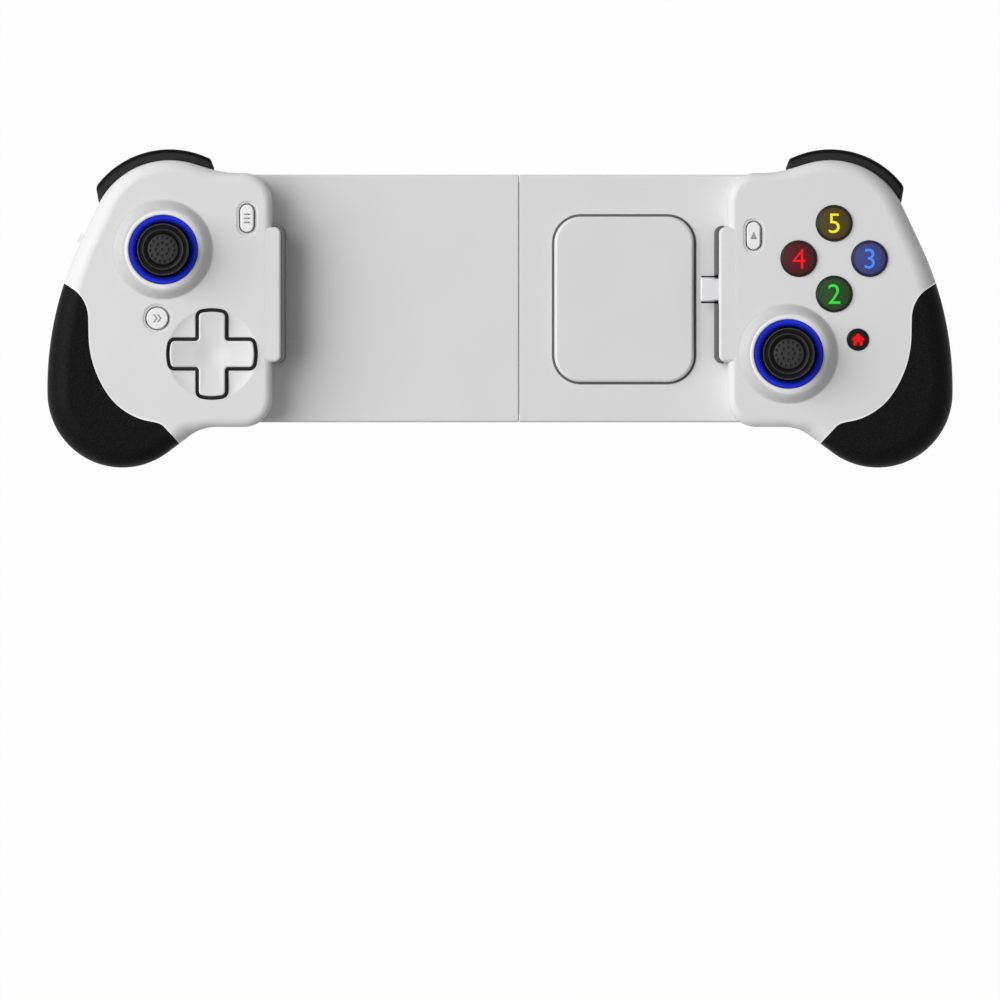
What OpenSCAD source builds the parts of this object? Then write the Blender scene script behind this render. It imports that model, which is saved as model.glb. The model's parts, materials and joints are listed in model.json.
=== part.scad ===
// Mobile game controller that grips a phone between two handles.
// It lies on its back, face up (+Z); X runs along the phone, Y up the face, Z = 0 is the table.
// Handle pieces are drawn once in handle coordinates: [distance out from the inner edge, Y].

/* [Phone bay] */
// Clear length between the jaw cushions with the slide closed
bay_length = 128.6; // [124:0.2:136]
// How far the slide opens
slide_travel = 50; // [30:1:52]
// Thickness of the rubber cushion on each jaw
cushion_t = 1.3; // [0.9:0.1:2]
// Depth of each jaw in front of its handle
jaw_depth = 2.8; // [2.2:0.1:4]
// Lower end of the jaws
jaw_low = -16; // [-22:0.5:-10]
// Upper end of the jaws
jaw_high = 24.5; // [18:0.5:28]

/* [Bridge] */
// Height of the bridge plate, seen from the front
bridge_h = 74.4; // [70:0.2:76]
// Height of the bridge centre above the origin
bridge_y = 3.15; // [2:0.05:4]
// Thickness of the closed bridge box
bridge_t = 11; // [10:0.5:13]
// Height of the bridge back above the table
bridge_back_z = 9; // [8:0.5:11]
// Wall of the bridge box
bridge_wall = 2; // [1.6:0.1:2.4]
// Place of the seam between the two bridge halves
seam_x = 5.65; // [0:0.05:10]
// Running clearance around the slide tray
slide_gap = 0.4; // [0.3:0.05:0.6]
// Wall of the slide tray
tray_wall = 1.3; // [1:0.1:1.6]
// Length and height of the phone pad
pad_size = [41.9, 49.7]; // [30:0.1:54]
// Distance of the phone pad's centre from the right cushion
pad_back = 27; // [25:0.1:32]
// Height of the phone pad's centre above the bridge centre
pad_lift = -0.25; // [-4:0.05:4]
// Corner radius of the phone pad
pad_r = 8; // [4:0.5:12]
// Height of the phone pad above the plate
pad_rise = 1.6; // [1:0.1:2.4]

/* [Handle outline] */
// Reach of a handle from its inner edge
handle_width = 67.5; // [66:0.1:70]
// Radius of the inner corners
corner_r = 8.5; // [8:0.1:9]
// Where the hollow under the handle turns down, as a share of the reach
waist_share = 0.314; // [0.3:0.001:0.33]
// Radius of that hollow
waist_r = 13; // [10:0.5:16]
// Fall of the lower edge toward the heel
heel_angle = 36.9; // [35:0.1:38]
// Radius of the heel, as a share of the reach
heel_share = 0.3333; // [0.32:0.0001:0.34]
// Height of the bend in the outer flank
flank_y = -1.5; // [-2.5:0.1:0]
// Lean of the upper flank
flank_angle = 25; // [24:0.1:26]
// Radius of the flank bend
flank_r = 100; // [90:1:103]
// Where the top edge starts to rise to the shoulder, as a share of the reach
neck_share = 0.2163; // [0.19:0.0001:0.24]
// Rise of that edge
shoulder_angle = 17; // [15:0.1:18]
// Radius of the shoulder, as a share of the reach
shoulder_share = 0.3556; // [0.34:0.0001:0.37]

/* [Handle depth] */
// Rise of the front face above the bridge plate
face_rise = 14; // [13.5:0.1:16]
// Wall of the shells
wall = 2.2; // [1.8:0.1:2.4]
// Depth of the back behind the bridge, where handle and bridge meet
back_drop = 2.5; // [1.5:0.1:4]
// Seam between shell and grip
grip_seam = 0.15; // [0.1:0.05:0.3]
// Length of the grip's lip inside the shells
lip_length = 3; // [2:0.5:4]
// Thickness of that lip
lip_t = 1.3; // [1:0.1:1.6]

/* [Controls] */
// Place of the left stick: share of the handle's reach, height
stick_left_place = [0.483, 17.7]; // [0:0.001:40]
// Place of the right stick
stick_right_at = [18.2, -13.6]; // [-40:0.1:60]
// Place of the cross pad
cross_at = [18, -13.6]; // [-40:0.1:60]
// Centre of the four face buttons: share of the handle's reach, height
face_place = [0.472, 15]; // [0:0.001:40]
// Distance of each face button from that centre
face_spread = 10.6; // [10:0.1:11.5]
// Radius of a face button
face_button_r = 5.35; // [4.8:0.05:5.6]
// Travel of a face button
face_travel = 1.5; // [0.8:0.1:1.6]
// Place of the turbo button: share of the handle's reach, height
turbo_place = [0.51, -2.9]; // [-40:0.001:40]
// Place of the home button: share of the handle's reach, height
home_place = [0.578, -9.3]; // [-40:0.001:40]
// Radius of the turbo and home buttons
round_button_r = 3.2; // [2.8:0.05:3.4]
// Distance of the select button from the inner edge and below the top edge
select_in = [7.5, 13.65]; // [6:0.05:24]
// Distance of the start button from the inner edge and below the top edge
start_in = [7.7, 18.85]; // [6:0.05:24]
// Width and length of the select and start buttons
pill_size = [4, 8.2]; // [3:0.1:9]
// Travel of the small buttons
small_travel = 0.6; // [0.3:0.05:0.8]
// Gap around the buttons
button_gap = 0.2; // [0.15:0.05:0.35]
// Tip to tip length of the cross pad
cross_length = 25.4; // [24:0.1:26]
// Width of the arms of the cross pad
cross_arm = 8.2; // [7:0.1:8.6]
// Groove around the cross pad
cross_gap = 0.9; // [0.8:0.05:1.2]
// Radius of the stick caps
stick_cap_r = 7.75; // [7:0.05:8]
// Height of the stick pivots above the board
stick_pivot_rise = 4.5; // [4.3:0.1:5]
// Inner radius of the light rings
ring_in_r = 8.1; // [7.9:0.05:8.4]
// Outer radius of the light rings
ring_out_r = 10.4; // [10:0.05:10.8]
// Height of the raised boss around each stick
boss_rise = 2.2; // [1.5:0.1:2.6]

/* [Shoulder controls] */
// How far the bumpers stand out from the shoulder
bumper_proud = 3.4; // [2.5:0.1:3.6]
// Height of the bumpers
bumper_h = 7.8; // [6:0.1:8.2]
// Clearance above and below the bumpers
bumper_gap = 0.3; // [0.25:0.05:0.4]
// Width of the triggers
trigger_width = 19.4; // [16:0.2:20]
// Radius of the trigger pins
trigger_pin_r = 1.2; // [1:0.05:1.4]

/* [Plug] */
// Width and thickness of the plug shell
plug_size = [8.25, 2.4]; // [2:0.05:9]
// Free length of the plug in front of the cushion
plug_reach = 4; // [3:0.1:6]
// Height of the plug above the origin
plug_y = 5.8; // [3:0.1:9]
// Height of the plug above the bridge plate
plug_rise = 5.8; // [5:0.1:7]

/* [Hidden] */

$fn = 40;
// Overlap that lets a cut run clear of a face
cut = 1;
shell_colour = [0.87, 0.87, 0.87];
plate_colour = [0.84, 0.84, 0.84];
rubber_colour = [0.1, 0.1, 0.1];
cushion_colour = [0.4, 0.4, 0.4];
tray_colour = [0.56, 0.56, 0.56];
black_colour = [0.06, 0.06, 0.07];
board_colour = [0.05, 0.3, 0.15];
metal_colour = [0.75, 0.75, 0.77];
light_colour = [0.12, 0.15, 0.85];
yellow_colour = [0.35, 0.3, 0.12];
blue_colour = [0.22, 0.24, 0.42];
green_colour = [0.18, 0.33, 0.16];
red_colour = [0.36, 0.13, 0.17];

// Levels
part_z = bridge_back_z + bridge_t;
face_z = part_z + face_rise;
ceiling_z = face_z - wall;
board_lift = 1.4;
board_t = 1.6;
board_z = part_z + board_lift;
board_top = board_z + board_t;
main_back_z = bridge_back_z - back_drop;
pivot_z = board_top + stick_pivot_rise;

// Lengths along X
inner_x = bay_length / 2 + cushion_t + jaw_depth;
bridge_low = bridge_y - bridge_h / 2;
bridge_high = bridge_y + bridge_h / 2;
seam_gap = 0.3;
box_reach = 9.6;
rear_start = box_reach + seam_gap;

// Handle outline: a polygon whose corners are rounded, counter-clockwise from the lower inner corner
low_overhang = 1.4;
high_overhang = 0.4;
waist_x = waist_share * handle_width;
heel_r = heel_share * handle_width;
neck_x = neck_share * handle_width;
shoulder_r = shoulder_share * handle_width;
waist_y = bridge_low - low_overhang;
neck_y = bridge_high + high_overhang;
heel_y = waist_y - (handle_width - waist_x) * tan(heel_angle);
shoulder_slope = tan(shoulder_angle);
flank_slope = tan(flank_angle);
shoulder_y = (neck_y + shoulder_slope * (handle_width + flank_slope * flank_y - neck_x))
  / (1 + shoulder_slope * flank_slope);
shoulder_x = handle_width - flank_slope * (shoulder_y - flank_y);
corners = [
  [0, waist_y], [waist_x, waist_y], [handle_width, heel_y], [handle_width, flank_y],
  [shoulder_x, shoulder_y], [neck_x, neck_y], [0, neck_y]
];
neck_bend_r = 30;
corner_radii = [corner_r, waist_r, heel_r, flank_r, shoulder_r, neck_bend_r, corner_r];
corner_steps = [5, 3, 11, 4, 8, 2, 5];
// Width and height of the rounded front edge, and width of the rounded back, at each corner
front_w = [2.6, 3, 7, 6.5, 4, 3, 2.6];
front_h = [2.4, 3, 8, 7, 4.2, 3, 2.4];
rear_w = [6, 7, 15, 14, 11, 7, 6];
front_angles = [0, 30, 60, 90];
rear_angles = [20, 40, 60, 76, 90];

// Place given as a share of the handle's reach and a height
function across(p) = [p.x * handle_width, p.y];
form_centre = across([0.533, -4]);
stick_left_at = across(stick_left_place);
face_at = across(face_place);
turbo_at = across(turbo_place);
home_at = across(home_place);
select_at = [select_in.x, neck_y - select_in.y];
start_at = [start_in.x, neck_y - start_in.y];

function unit(v) = v / norm(v);
function lerp(a, b, t) = a + (b - a) * t;
function smooth(t) = let (c = min(max(t, 0), 1)) c * c * (3 - 2 * c);

// Fillet of the corner b between a and c: [centre, first angle, turn, radius, side]
function fillet(a, b, c, r) =
  let (
    into = unit(b - a),
    away = unit(c - b),
    turn = atan2(into.x * away.y - into.y * away.x, into * away),
    side = turn > 0 ? 1 : -1,
    normal = [-into.y, into.x] * side,
    centre = b - into * r * tan(abs(turn) / 2) + normal * r
  )
  [centre, atan2(-normal.y, -normal.x), turn, r, side];

function arc_point(arc, t, inset) =
  let (a = arc[1] + arc[2] * t) arc[0] + (arc[3] - arc[4] * inset) * [cos(a), sin(a)];

corner_count = len(corners);
arcs = [
  for (k = [0 : corner_count - 1])
    fillet(
      corners[(k + corner_count - 1) % corner_count], corners[k],
      corners[(k + 1) % corner_count], corner_radii[k]
    )
];
shoulder_centre = arcs[4][0];

// Stations around the outline: [corner, place along its fillet]
rim = [for (k = [0 : corner_count - 1]) for (i = [0 : corner_steps[k]]) [k, i / corner_steps[k]]];
// Stations around the grip end alone, closed by one point inside the handle
grip_inner_point = across([0.533, 20]);
inside = -1;
grip_rim = concat(
  [[1, 1]], [for (k = [2, 3]) for (i = [0 : corner_steps[k]]) [k, i / corner_steps[k]]],
  [[4, 0], [inside, 0]]
);

function rim_point(s, inset) = s[0] == inside ? grip_inner_point : arc_point(arcs[s[0]], s[1], inset);

// A value given at the corners, blended along the outline
function blended(list, s) =
  s[0] == inside ? list[3] :
  let (
    here = list[s[0]],
    before = list[(s[0] + corner_count - 1) % corner_count],
    after = list[(s[0] + 1) % corner_count]
  )
  s[1] < 0.5 ? lerp((before + here) / 2, here, 2 * s[1]) : lerp(here, (here + after) / 2, 2 * s[1] - 1);

// Back of the handle: level with the bridge end, then down to the table under the palm
palm_start = 9;
palm_length = 22;
top_start = 22;
top_length = 26;
top_lift = 4;
function back_z(p) =
  main_back_z * (1 - smooth((p.x - palm_start) / palm_length))
  + top_lift * smooth((p.y - top_start) / top_length);

least_round = 0.4;
function with_z(p, z) = [p.x, p.y, z];
function level_ring(stations, inset, z) = [for (s = stations) with_z(rim_point(s, inset), z)];
function front_ring(stations, inset, a) = [
  for (s = stations)
    let (w = max(blended(front_w, s) - inset, least_round), h = max(blended(front_h, s) - inset, least_round))
    with_z(rim_point(s, inset + w * (1 - cos(a))), face_z - inset - h * (1 - sin(a)))
];
function back_edge(s, inset, a) =
  let (w = max(blended(rear_w, s) - inset, least_round)) rim_point(s, inset + w * (1 - cos(a)));
function rear_ring(stations, inset, a) = [
  for (s = stations)
    let (depth = part_z - back_z(back_edge(s, inset, 90)) - inset)
    with_z(back_edge(s, inset, a), part_z - depth * sin(a))
];
function floor_ring(stations, inset, t, centre) = [
  for (s = stations)
    let (p = lerp(centre, back_edge(s, inset, 90), t))
    with_z(p, back_z(p) + inset)
];
function floor_point(centre, inset) = with_z(centre, back_z(centre) + inset);
function reversed(list) = [for (i = [len(list) - 1 : -1 : 0]) list[i]];

// Skin through a list of rings, closed by a fan at each end
module loft(rings, first, last) {
  n = len(rings[0]);
  m = len(rings);
  points = concat([for (ring = rings) each ring], [first, last]);
  sides = [
    for (r = [0 : m - 2]) for (i = [0 : n - 1])
      let (j = (i + 1) % n, a = r * n, b = a + n)
      each [[a + i, b + i, b + j], [a + i, b + j, a + j]]
  ];
  start_fan = [for (i = [0 : n - 1]) [n * m, i, (i + 1) % n]];
  end_fan = [for (i = [0 : n - 1]) [n * m + 1, (m - 1) * n + (i + 1) % n, (m - 1) * n + i]];
  polyhedron(points = points, faces = concat(sides, start_fan, end_fan));
}

module side_left() mirror([1, 0, 0]) translate([inner_x, 0, 0]) children();
module side_right() translate([inner_x, 0, 0]) children();
module at(p, z = 0) translate([p.x, p.y, z]) children();

// Sweeps a shape drawn in [Y, Z] along X, from x0 to x1
module along_x(x0, x1) translate([x0, 0, 0]) rotate([90, 0, 90]) linear_extrude(x1 - x0) children();

module box(low, high) translate(low) cube(high - low);

module pill(size) {
  r = size.x / 2;
  square([size.x, size.y - size.x], center = true);
  for (s = [-1, 1]) translate([0, s * (size.y / 2 - r)]) circle(r);
}

module rounded(size, r) {
  square([size.x, size.y - 2 * r], center = true);
  square([size.x - 2 * r, size.y], center = true);
  for (sx = [-1, 1], sy = [-1, 1]) translate([sx * (size.x / 2 - r), sy * (size.y / 2 - r)]) circle(r);
}

// Shells
front_inner = reversed([for (a = front_angles) front_ring(rim, wall, a)]);
front_outer = [for (a = front_angles) front_ring(rim, 0, a)];
module front_cup() {
  rings = concat(
    front_inner, [level_ring(rim, wall, part_z), level_ring(rim, 0, part_z)], front_outer
  );
  loft(rings, with_z(form_centre, ceiling_z), with_z(form_centre, face_z));
}

floor_steps = [0.3, 0.65];
module rear_cup() {
  rings = concat(
    [for (t = floor_steps) floor_ring(rim, 0, t, form_centre)],
    reversed([for (a = rear_angles) rear_ring(rim, 0, a)]),
    [level_ring(rim, 0, part_z), level_ring(rim, wall, part_z)],
    [for (a = rear_angles) rear_ring(rim, wall, a)],
    reversed([for (t = floor_steps) floor_ring(rim, wall, t, form_centre)])
  );
  loft(rings, floor_point(form_centre, 0), floor_point(form_centre, wall));
}

// Whole handle end, drawn in from its skin by inset
grip_centre = across([0.6815, -12]);
module grip_form(inset) {
  rings = concat(
    [for (t = floor_steps) floor_ring(grip_rim, inset, t, grip_centre)],
    reversed([for (a = rear_angles) rear_ring(grip_rim, inset, a)]),
    [level_ring(grip_rim, inset, part_z)],
    [for (a = front_angles) front_ring(grip_rim, inset, a)]
  );
  loft(rings, floor_point(grip_centre, inset), with_z(grip_centre, face_z - inset));
}

// Line between shell and grip on the face: [[share of the handle's reach, height], radius]
grip_shares = [
  [[1.037, 12.6], 0], [[0.8207, 3], 11], [[0.8148, -17], 32], [[0.6741, -32], 19], [[0.4978, -34.4], 5],
  [[0.3852, -42.5], 0]
];
grip_line = [for (g = grip_shares) [across(g[0]), g[1]]];
grip_steps = 4;
grip_curve = [
  for (k = [1 : len(grip_line) - 2])
    let (arc = fillet(grip_line[k - 1][0], grip_line[k][0], grip_line[k + 1][0], grip_line[k][1]))
    for (i = [0 : grip_steps]) arc_point(arc, i / grip_steps, 0)
];
far_out = [90, -90];
grip_outline = concat(
  [grip_line[0][0]], grip_curve,
  [grip_line[len(grip_line) - 1][0], [grip_curve[0].x / 2, far_out.y]],
  [far_out, [far_out.x, grip_line[0][0].y]]
);
module grip_region(grow)
  translate([0, 0, -cut]) linear_extrude(face_z + 2 * cut) offset(delta = grow) polygon(grip_outline);

module grip() {
  difference() {
    union() {
      intersection() {
        grip_form(0);
        grip_region(0);
      }
      intersection() {
        grip_form(wall + grip_seam);
        grip_region(lip_length);
      }
    }
    grip_form(wall + lip_t);
  }
}

// Screws and posts that close a handle, shared by both shells and the board
screw_r = 1;
screw_fit = 0.1;
post_r = 3;
boss_r = 4.2;
head_r = 2.4;
head_h = 1.6;
head_seat_z = 12;
shell_post_in = 6.75;
shell_posts = [across([0.7185, 4]), [15, neck_y - shell_post_in], across([0.5037, -24]), [14.5, 6]];
bridge_post_in = 4.5;
bridge_posts = [[6.2, bridge_high - bridge_post_in], [5.5, bridge_low + bridge_post_in]];
bridge_post_r = 2.2;
screw_bite = 6;
shell_screw_top = board_top + screw_bite;
bridge_screw_top = part_z + screw_bite;
head_sink = 0.2;
bridge_head_z = bridge_back_z + head_sink;

// Bumper: a band around the shoulder that turns on a post at its inner end
bumper_z = part_z + 2 * bumper_gap;
bumper_top = bumper_z + bumper_h;
bumper_in_r = shoulder_r - wall - bumper_gap;
bumper_out_r = shoulder_r + bumper_proud;
bumper_first = 28;
bumper_last = 121;
// Room that the trimmed ends of the bumper keep to, from the shoulder's centre
bumper_trim = [[22.2, 0], [22.2, 40], [-4.2, 36], [-15.6, 18.7]];
bumper_pivot_angle = 117;
bumper_post_r = 1.5;
bumper_post_fit = 0.1;
bumper_hub_r = 2.9;
bumper_pivot = shoulder_centre + bumper_in_r * [cos(bumper_pivot_angle), sin(bumper_pivot_angle)];
// Room for the bumper to turn: degrees at its free end and at its pivot, and depth behind it
slot_free = 5.5;
slot_hub = 7;
slot_depth = 2.2;
slot_first = bumper_first - slot_free;
slot_last = bumper_last + slot_hub;
slot_in_r = bumper_in_r - slot_depth;

module shoulder_band(first, last, profile)
  at(shoulder_centre) rotate([0, 0, first]) rotate_extrude(angle = last - first) polygon(profile);

module bumper_slot() {
  z0 = part_z - cut;
  z1 = bumper_top + bumper_gap;
  r1 = bumper_out_r + bumper_proud;
  shoulder_band(slot_first, slot_last, [[slot_in_r, z0], [r1, z0], [r1, z1], [slot_in_r, z1]]);
}

// Trigger: a curved paddle on a pin across the back of the shoulder
trigger_pin_in = 6;
trigger_pin_drop = 3;
trigger_pin_at = [shoulder_centre.y + shoulder_r - trigger_pin_in, part_z - trigger_pin_drop];
trigger_from = shoulder_centre.x - trigger_width / 2;
trigger_to = shoulder_centre.x + trigger_width / 2;
trigger_gap = 0.35;
ear_t = 1.8;
ear_half = 1.9;
trigger_window_back = 5.2;

module trigger_ears() {
  for (x = [trigger_from - trigger_gap - ear_t, trigger_to + trigger_gap])
    box([x, trigger_pin_at.x - ear_half, trigger_pin_at.y - ear_half],
      [x + ear_t, trigger_pin_at.x + ear_half, trigger_pin_at.y + ear_half]);
}
module trigger_window()
  box([trigger_from - trigger_gap, trigger_pin_at.x - trigger_window_back, -cut],
    [trigger_to + trigger_gap, far_out.x, part_z + cut]);
module trigger_axis(r, x0, x1)
  translate([x0, trigger_pin_at.x, trigger_pin_at.y]) rotate([0, 90, 0]) cylinder(r = r, h = x1 - x0);

// Jaw block in front of the handle's inner edge
jaw_clear = 0.3;
jaw_drop = 0.2;
jaw_top = face_z - jaw_drop;
jaw_r = 2;
jaw_root = 3.2;
jaw_mid = (jaw_low + jaw_high) / 2;
jaw_h = jaw_high - jaw_low;
module jaw() {
  length = jaw_depth + jaw_root;
  at([(jaw_root - jaw_depth) / 2, jaw_mid], part_z + jaw_clear)
    linear_extrude(jaw_top - part_z - jaw_clear) rounded([length, jaw_h], jaw_r);
}

// Cushion pegs sit in sockets of the jaw
peg_r = 1.5;
peg_fit = 0.05;
peg_depth = 1.6;
peg_z = (part_z + face_z) / 2;
peg_places = [jaw_mid - jaw_h / 3, jaw_mid + jaw_h / 3];
module pegs(r, depth)
  for (y = peg_places)
    translate([-jaw_depth, y, peg_z]) rotate([0, 90, 0]) cylinder(r = r, h = depth);

plug_z = part_z + plug_rise;
plug_fit = 0.1;
plug_tail_free = 0.6;
plug_tail = jaw_root + plug_tail_free;
plug_tip = -jaw_depth - cushion_t - plug_reach;
module plug_bar(grow, x0, x1)
  translate([x0, plug_y, plug_z]) rotate([0, 90, 0])
    linear_extrude(x1 - x0) pill([plug_size.y, plug_size.x] + 2 * [grow, grow]);

// Boss, ledge and bore around a stick
ring_ledge = 1.2;
ring_z = ceiling_z + ring_ledge;
ring_fit = 0.1;
boss_r0 = ring_out_r + ring_fit;
boss_base_r = 15;
boss_z = face_z + boss_rise;
ring_overhang = 0.5;
stick_bore_r = ring_in_r + ring_overhang;
// Crest of the boss: [out from its bore, below its top]
boss_crest = [[-cut, 0.2], [0.4, 0], [1.2, 0.05]];
// Flank of the boss: [out from its bore, share of its height]
boss_flank = [[2.6, 0.62], [3.6, 0.2]];
boss_profile = concat(
  [[boss_r0 - cut, ring_z]],
  [for (p = boss_crest) [boss_r0 + p.x, boss_z - p.y]],
  [for (p = boss_flank) [boss_r0 + p.x, lerp(face_z, boss_z, p.y)]],
  [[boss_base_r, face_z], [boss_base_r, ring_z]]
);
module stick_boss() rotate_extrude() polygon(boss_profile);
module stick_bore() {
  translate([0, 0, ceiling_z - cut]) cylinder(r = stick_bore_r, h = boss_rise + wall + 3 * cut);
  translate([0, 0, ring_z]) cylinder(r = boss_r0, h = boss_z);
}

// Small buttons sit in a shallow dish
dish_d = 0.5;
dish_w = 0.7;
module through(grow)
  translate([0, 0, ceiling_z - cut]) linear_extrude(wall + 2 * cut) offset(delta = grow) children();
module dish()
  translate([0, 0, face_z - dish_d]) linear_extrude(dish_d + cut) offset(delta = dish_w) children();
module small_hole() {
  through(button_gap) children();
  dish() children();
}

// Cross pad
cross_round = cross_length / 2;
cross_dish_r = 13.75;
cross_dish_d = 0.8;
cross_dish_flat = 0.6;
module cross_shape(grow) {
  intersection() {
    circle(cross_round + grow);
    union() {
      square([cross_length + 4 * grow, cross_arm + 2 * grow], center = true);
      square([cross_arm + 2 * grow, cross_length + 4 * grow], center = true);
    }
  }
}
module cross_hole() {
  translate([0, 0, ceiling_z - cut]) linear_extrude(wall + 2 * cut) cross_shape(cross_gap);
  dish_floor = face_z - cross_dish_d;
  rotate_extrude()
    polygon([
      [0, dish_floor], [cross_dish_r * cross_dish_flat, dish_floor], [cross_dish_r, face_z],
      [cross_dish_r, face_z + cut], [0, face_z + cut]
    ]);
}

// Side switch on the left flank
switch_y = 20.9;
switch_rise = 4.5;
switch_z = part_z + switch_rise;
switch_travel = 2;
switch_at = [handle_width - flank_slope * (switch_y - flank_y), switch_y];
switch_knob = [2.8, 1.8];
switch_gap = 0.25;
module on_flank() at(switch_at, switch_z) rotate([0, 0, flank_angle]) children();
module switch_slot()
  on_flank()
    box([-2 * wall, -switch_knob.x / 2 - switch_gap, -switch_knob.y / 2 - switch_gap],
      [wall, switch_knob.x / 2 + switch_travel + switch_gap, switch_knob.y / 2 + switch_gap]);

face_places = [for (a = [90, 0, -90, 180]) face_at + face_spread * [cos(a), sin(a)]];

module front_shell_blank(stick_at) {
  difference() {
    union() {
      front_cup();
      jaw();
      at(stick_at) stick_boss();
      for (p = shell_posts) at(p, board_top) cylinder(r = post_r, h = ceiling_z - board_top + cut);
      for (p = bridge_posts) at(p, part_z) cylinder(r = bridge_post_r, h = ceiling_z - part_z + cut);
    }
    grip_region(grip_seam);
    bumper_slot();
    at(stick_at) stick_bore();
    for (p = shell_posts) at(p, board_top - cut) cylinder(r = screw_r + screw_fit, h = screw_bite + 2 * cut);
    for (p = bridge_posts) at(p, part_z - cut) cylinder(r = screw_r + screw_fit, h = screw_bite + 2 * cut);
    pegs(peg_r + peg_fit, peg_depth + peg_fit);
  }
  at(bumper_pivot, bumper_z) cylinder(r = bumper_post_r, h = ceiling_z - bumper_z + cut);
}

module right_front_shell()
  color(shell_colour) side_right() difference() {
    front_shell_blank(stick_right_at);
    for (p = face_places) at(p) through(button_gap) circle(face_button_r);
    at(start_at) small_hole() pill(pill_size);
    at(home_at) small_hole() circle(round_button_r);
    plug_bar(plug_fit, -jaw_depth - cut, jaw_root + cut);
  }

module left_front_shell()
  color(shell_colour) side_left() difference() {
    front_shell_blank(stick_left_at);
    at(cross_at) cross_hole();
    at(select_at) small_hole() pill(pill_size);
    at(turbo_at) small_hole() circle(round_button_r);
    switch_slot();
  }

// Wall of the rear shell that faces the end of the bridge
end_wall_in = 1;
end_wall_steps = 6;
end_wall_profile = [
  for (side = [0, 1]) for (i = [0 : end_wall_steps])
    let (
      a = 90 * (side == 0 ? i : end_wall_steps - i) / end_wall_steps,
      reach = rear_w[0] * (1 - cos(a)) + end_wall_in,
      depth = part_z - main_back_z - end_wall_in
    )
    [side == 0 ? waist_y + reach : neck_y - reach, part_z - depth * sin(a)]
];

module rear_shell() {
  color(shell_colour) difference() {
    union() {
      intersection() {
        rear_cup();
        box([rear_start, far_out.y, -cut], [far_out.x, -far_out.y, face_z]);
      }
      along_x(rear_start, rear_start + wall) polygon(end_wall_profile);
      for (p = shell_posts)
        at(p, back_z(p) + wall / 2) cylinder(r = boss_r, h = board_z - back_z(p) - wall / 2);
      trigger_ears();
    }
    grip_region(grip_seam);
    trigger_window();
    trigger_axis(trigger_pin_r + screw_fit, trigger_from - 3 * ear_t, trigger_to + 3 * ear_t);
    for (p = shell_posts) at(p, -cut) cylinder(r = screw_r + 2 * screw_fit, h = face_z);
    for (p = shell_posts) at(p, -cut) cylinder(r = head_r + 2 * screw_fit, h = head_seat_z + cut);
  }
}
module right_rear_shell() side_right() rear_shell();
module left_rear_shell() side_left() rear_shell();

module right_grip() color(rubber_colour) side_right() grip();
module left_grip() color(rubber_colour) side_left() grip();

// Cushion between jaw and phone, its ends lapping round the corners of the jaw
cushion_in = 0.4;
cushion_lip = 0.4;
cushion_lap = 1.6;
module cushion() {
  length = cushion_t + jaw_depth + jaw_root;
  z0 = part_z + jaw_clear + cushion_in;
  z1 = jaw_top - cushion_in;
  difference() {
    at([jaw_root - length / 2, jaw_mid], z0)
      linear_extrude(z1 - z0) rounded([length, jaw_h + 2 * cushion_lip], jaw_r + cushion_lip);
    jaw();
    box([cushion_lap - jaw_depth, jaw_low - 2 * cushion_lip, z0 - cut],
      [jaw_root + cut, jaw_high + 2 * cushion_lip, z1 + cut]);
  }
  pegs(peg_r, peg_depth);
}
// Room for the plug, open at the top so that it shows up to the jaw
module plug_notch() {
  half = plug_size.x / 2 + 2 * plug_fit;
  plug_bar(2 * plug_fit, plug_tip, 0);
  box([plug_tip, plug_y - half, plug_z], [-jaw_depth, plug_y + half, jaw_top]);
}
module right_jaw_cushion()
  color(cushion_colour) side_right() difference() {
    cushion();
    plug_notch();
  }
module left_jaw_cushion() color(cushion_colour) side_left() cushion();

// Bridge box: a channel with the phone side up, closed by a flat back cover
back_top = bridge_back_z + bridge_wall;
plate_under = part_z - bridge_wall;
channel_low = bridge_low + bridge_wall;
channel_high = bridge_high - bridge_wall;
edge = 0.8;
bridge_head_h = 1.2;
pad_sink = 0.5;
pad_gap = 0.5;
right_start = seam_x + seam_gap / 2 - inner_x;
left_start = -seam_x + seam_gap / 2 - inner_x;
cable_drop = 12;
cable_y = bridge_y - cable_drop;
cable_w = 8;
cable_t = 0.3;
cable_clear = 0.5;
cable_rise_x = 7;

module post_holes(r, z0, z1) for (p = bridge_posts) at(p, z0) cylinder(r = r, h = z1 - z0);

module bridge_plate(start) {
  difference() {
    union() {
      along_x(start, box_reach) polygon([
        [bridge_low, back_top], [channel_low, back_top], [channel_low, plate_under],
        [channel_high, plate_under], [channel_high, back_top], [bridge_high, back_top],
        [bridge_high, part_z - edge], [bridge_high - edge, part_z],
        [bridge_low + edge, part_z], [bridge_low, part_z - edge]
      ]);
      box([box_reach - bridge_wall, bridge_low + edge, back_top],
        [box_reach, bridge_high - edge, part_z - edge]);
    }
    post_holes(screw_r + 2 * screw_fit, plate_under - cut, part_z + cut);
    box([cable_rise_x - cable_t / 2 - cable_clear, cable_y - cable_w / 2 - cable_clear, plate_under - cut],
      [cable_rise_x + cable_t / 2 + cable_clear, cable_y + cable_w / 2 + cable_clear, part_z + cut]);
  }
}
module bridge_back(start) {
  difference() {
    along_x(start, box_reach) polygon([
      [bridge_low + edge, bridge_back_z], [bridge_high - edge, bridge_back_z],
      [bridge_high, bridge_back_z + edge], [bridge_high, back_top],
      [bridge_low, back_top], [bridge_low, bridge_back_z + edge]
    ]);
    post_holes(screw_r + 2 * screw_fit, bridge_back_z - cut, back_top + cut);
    post_holes(head_r + 2 * screw_fit, bridge_back_z - cut, bridge_head_z + bridge_head_h);
  }
}
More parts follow.
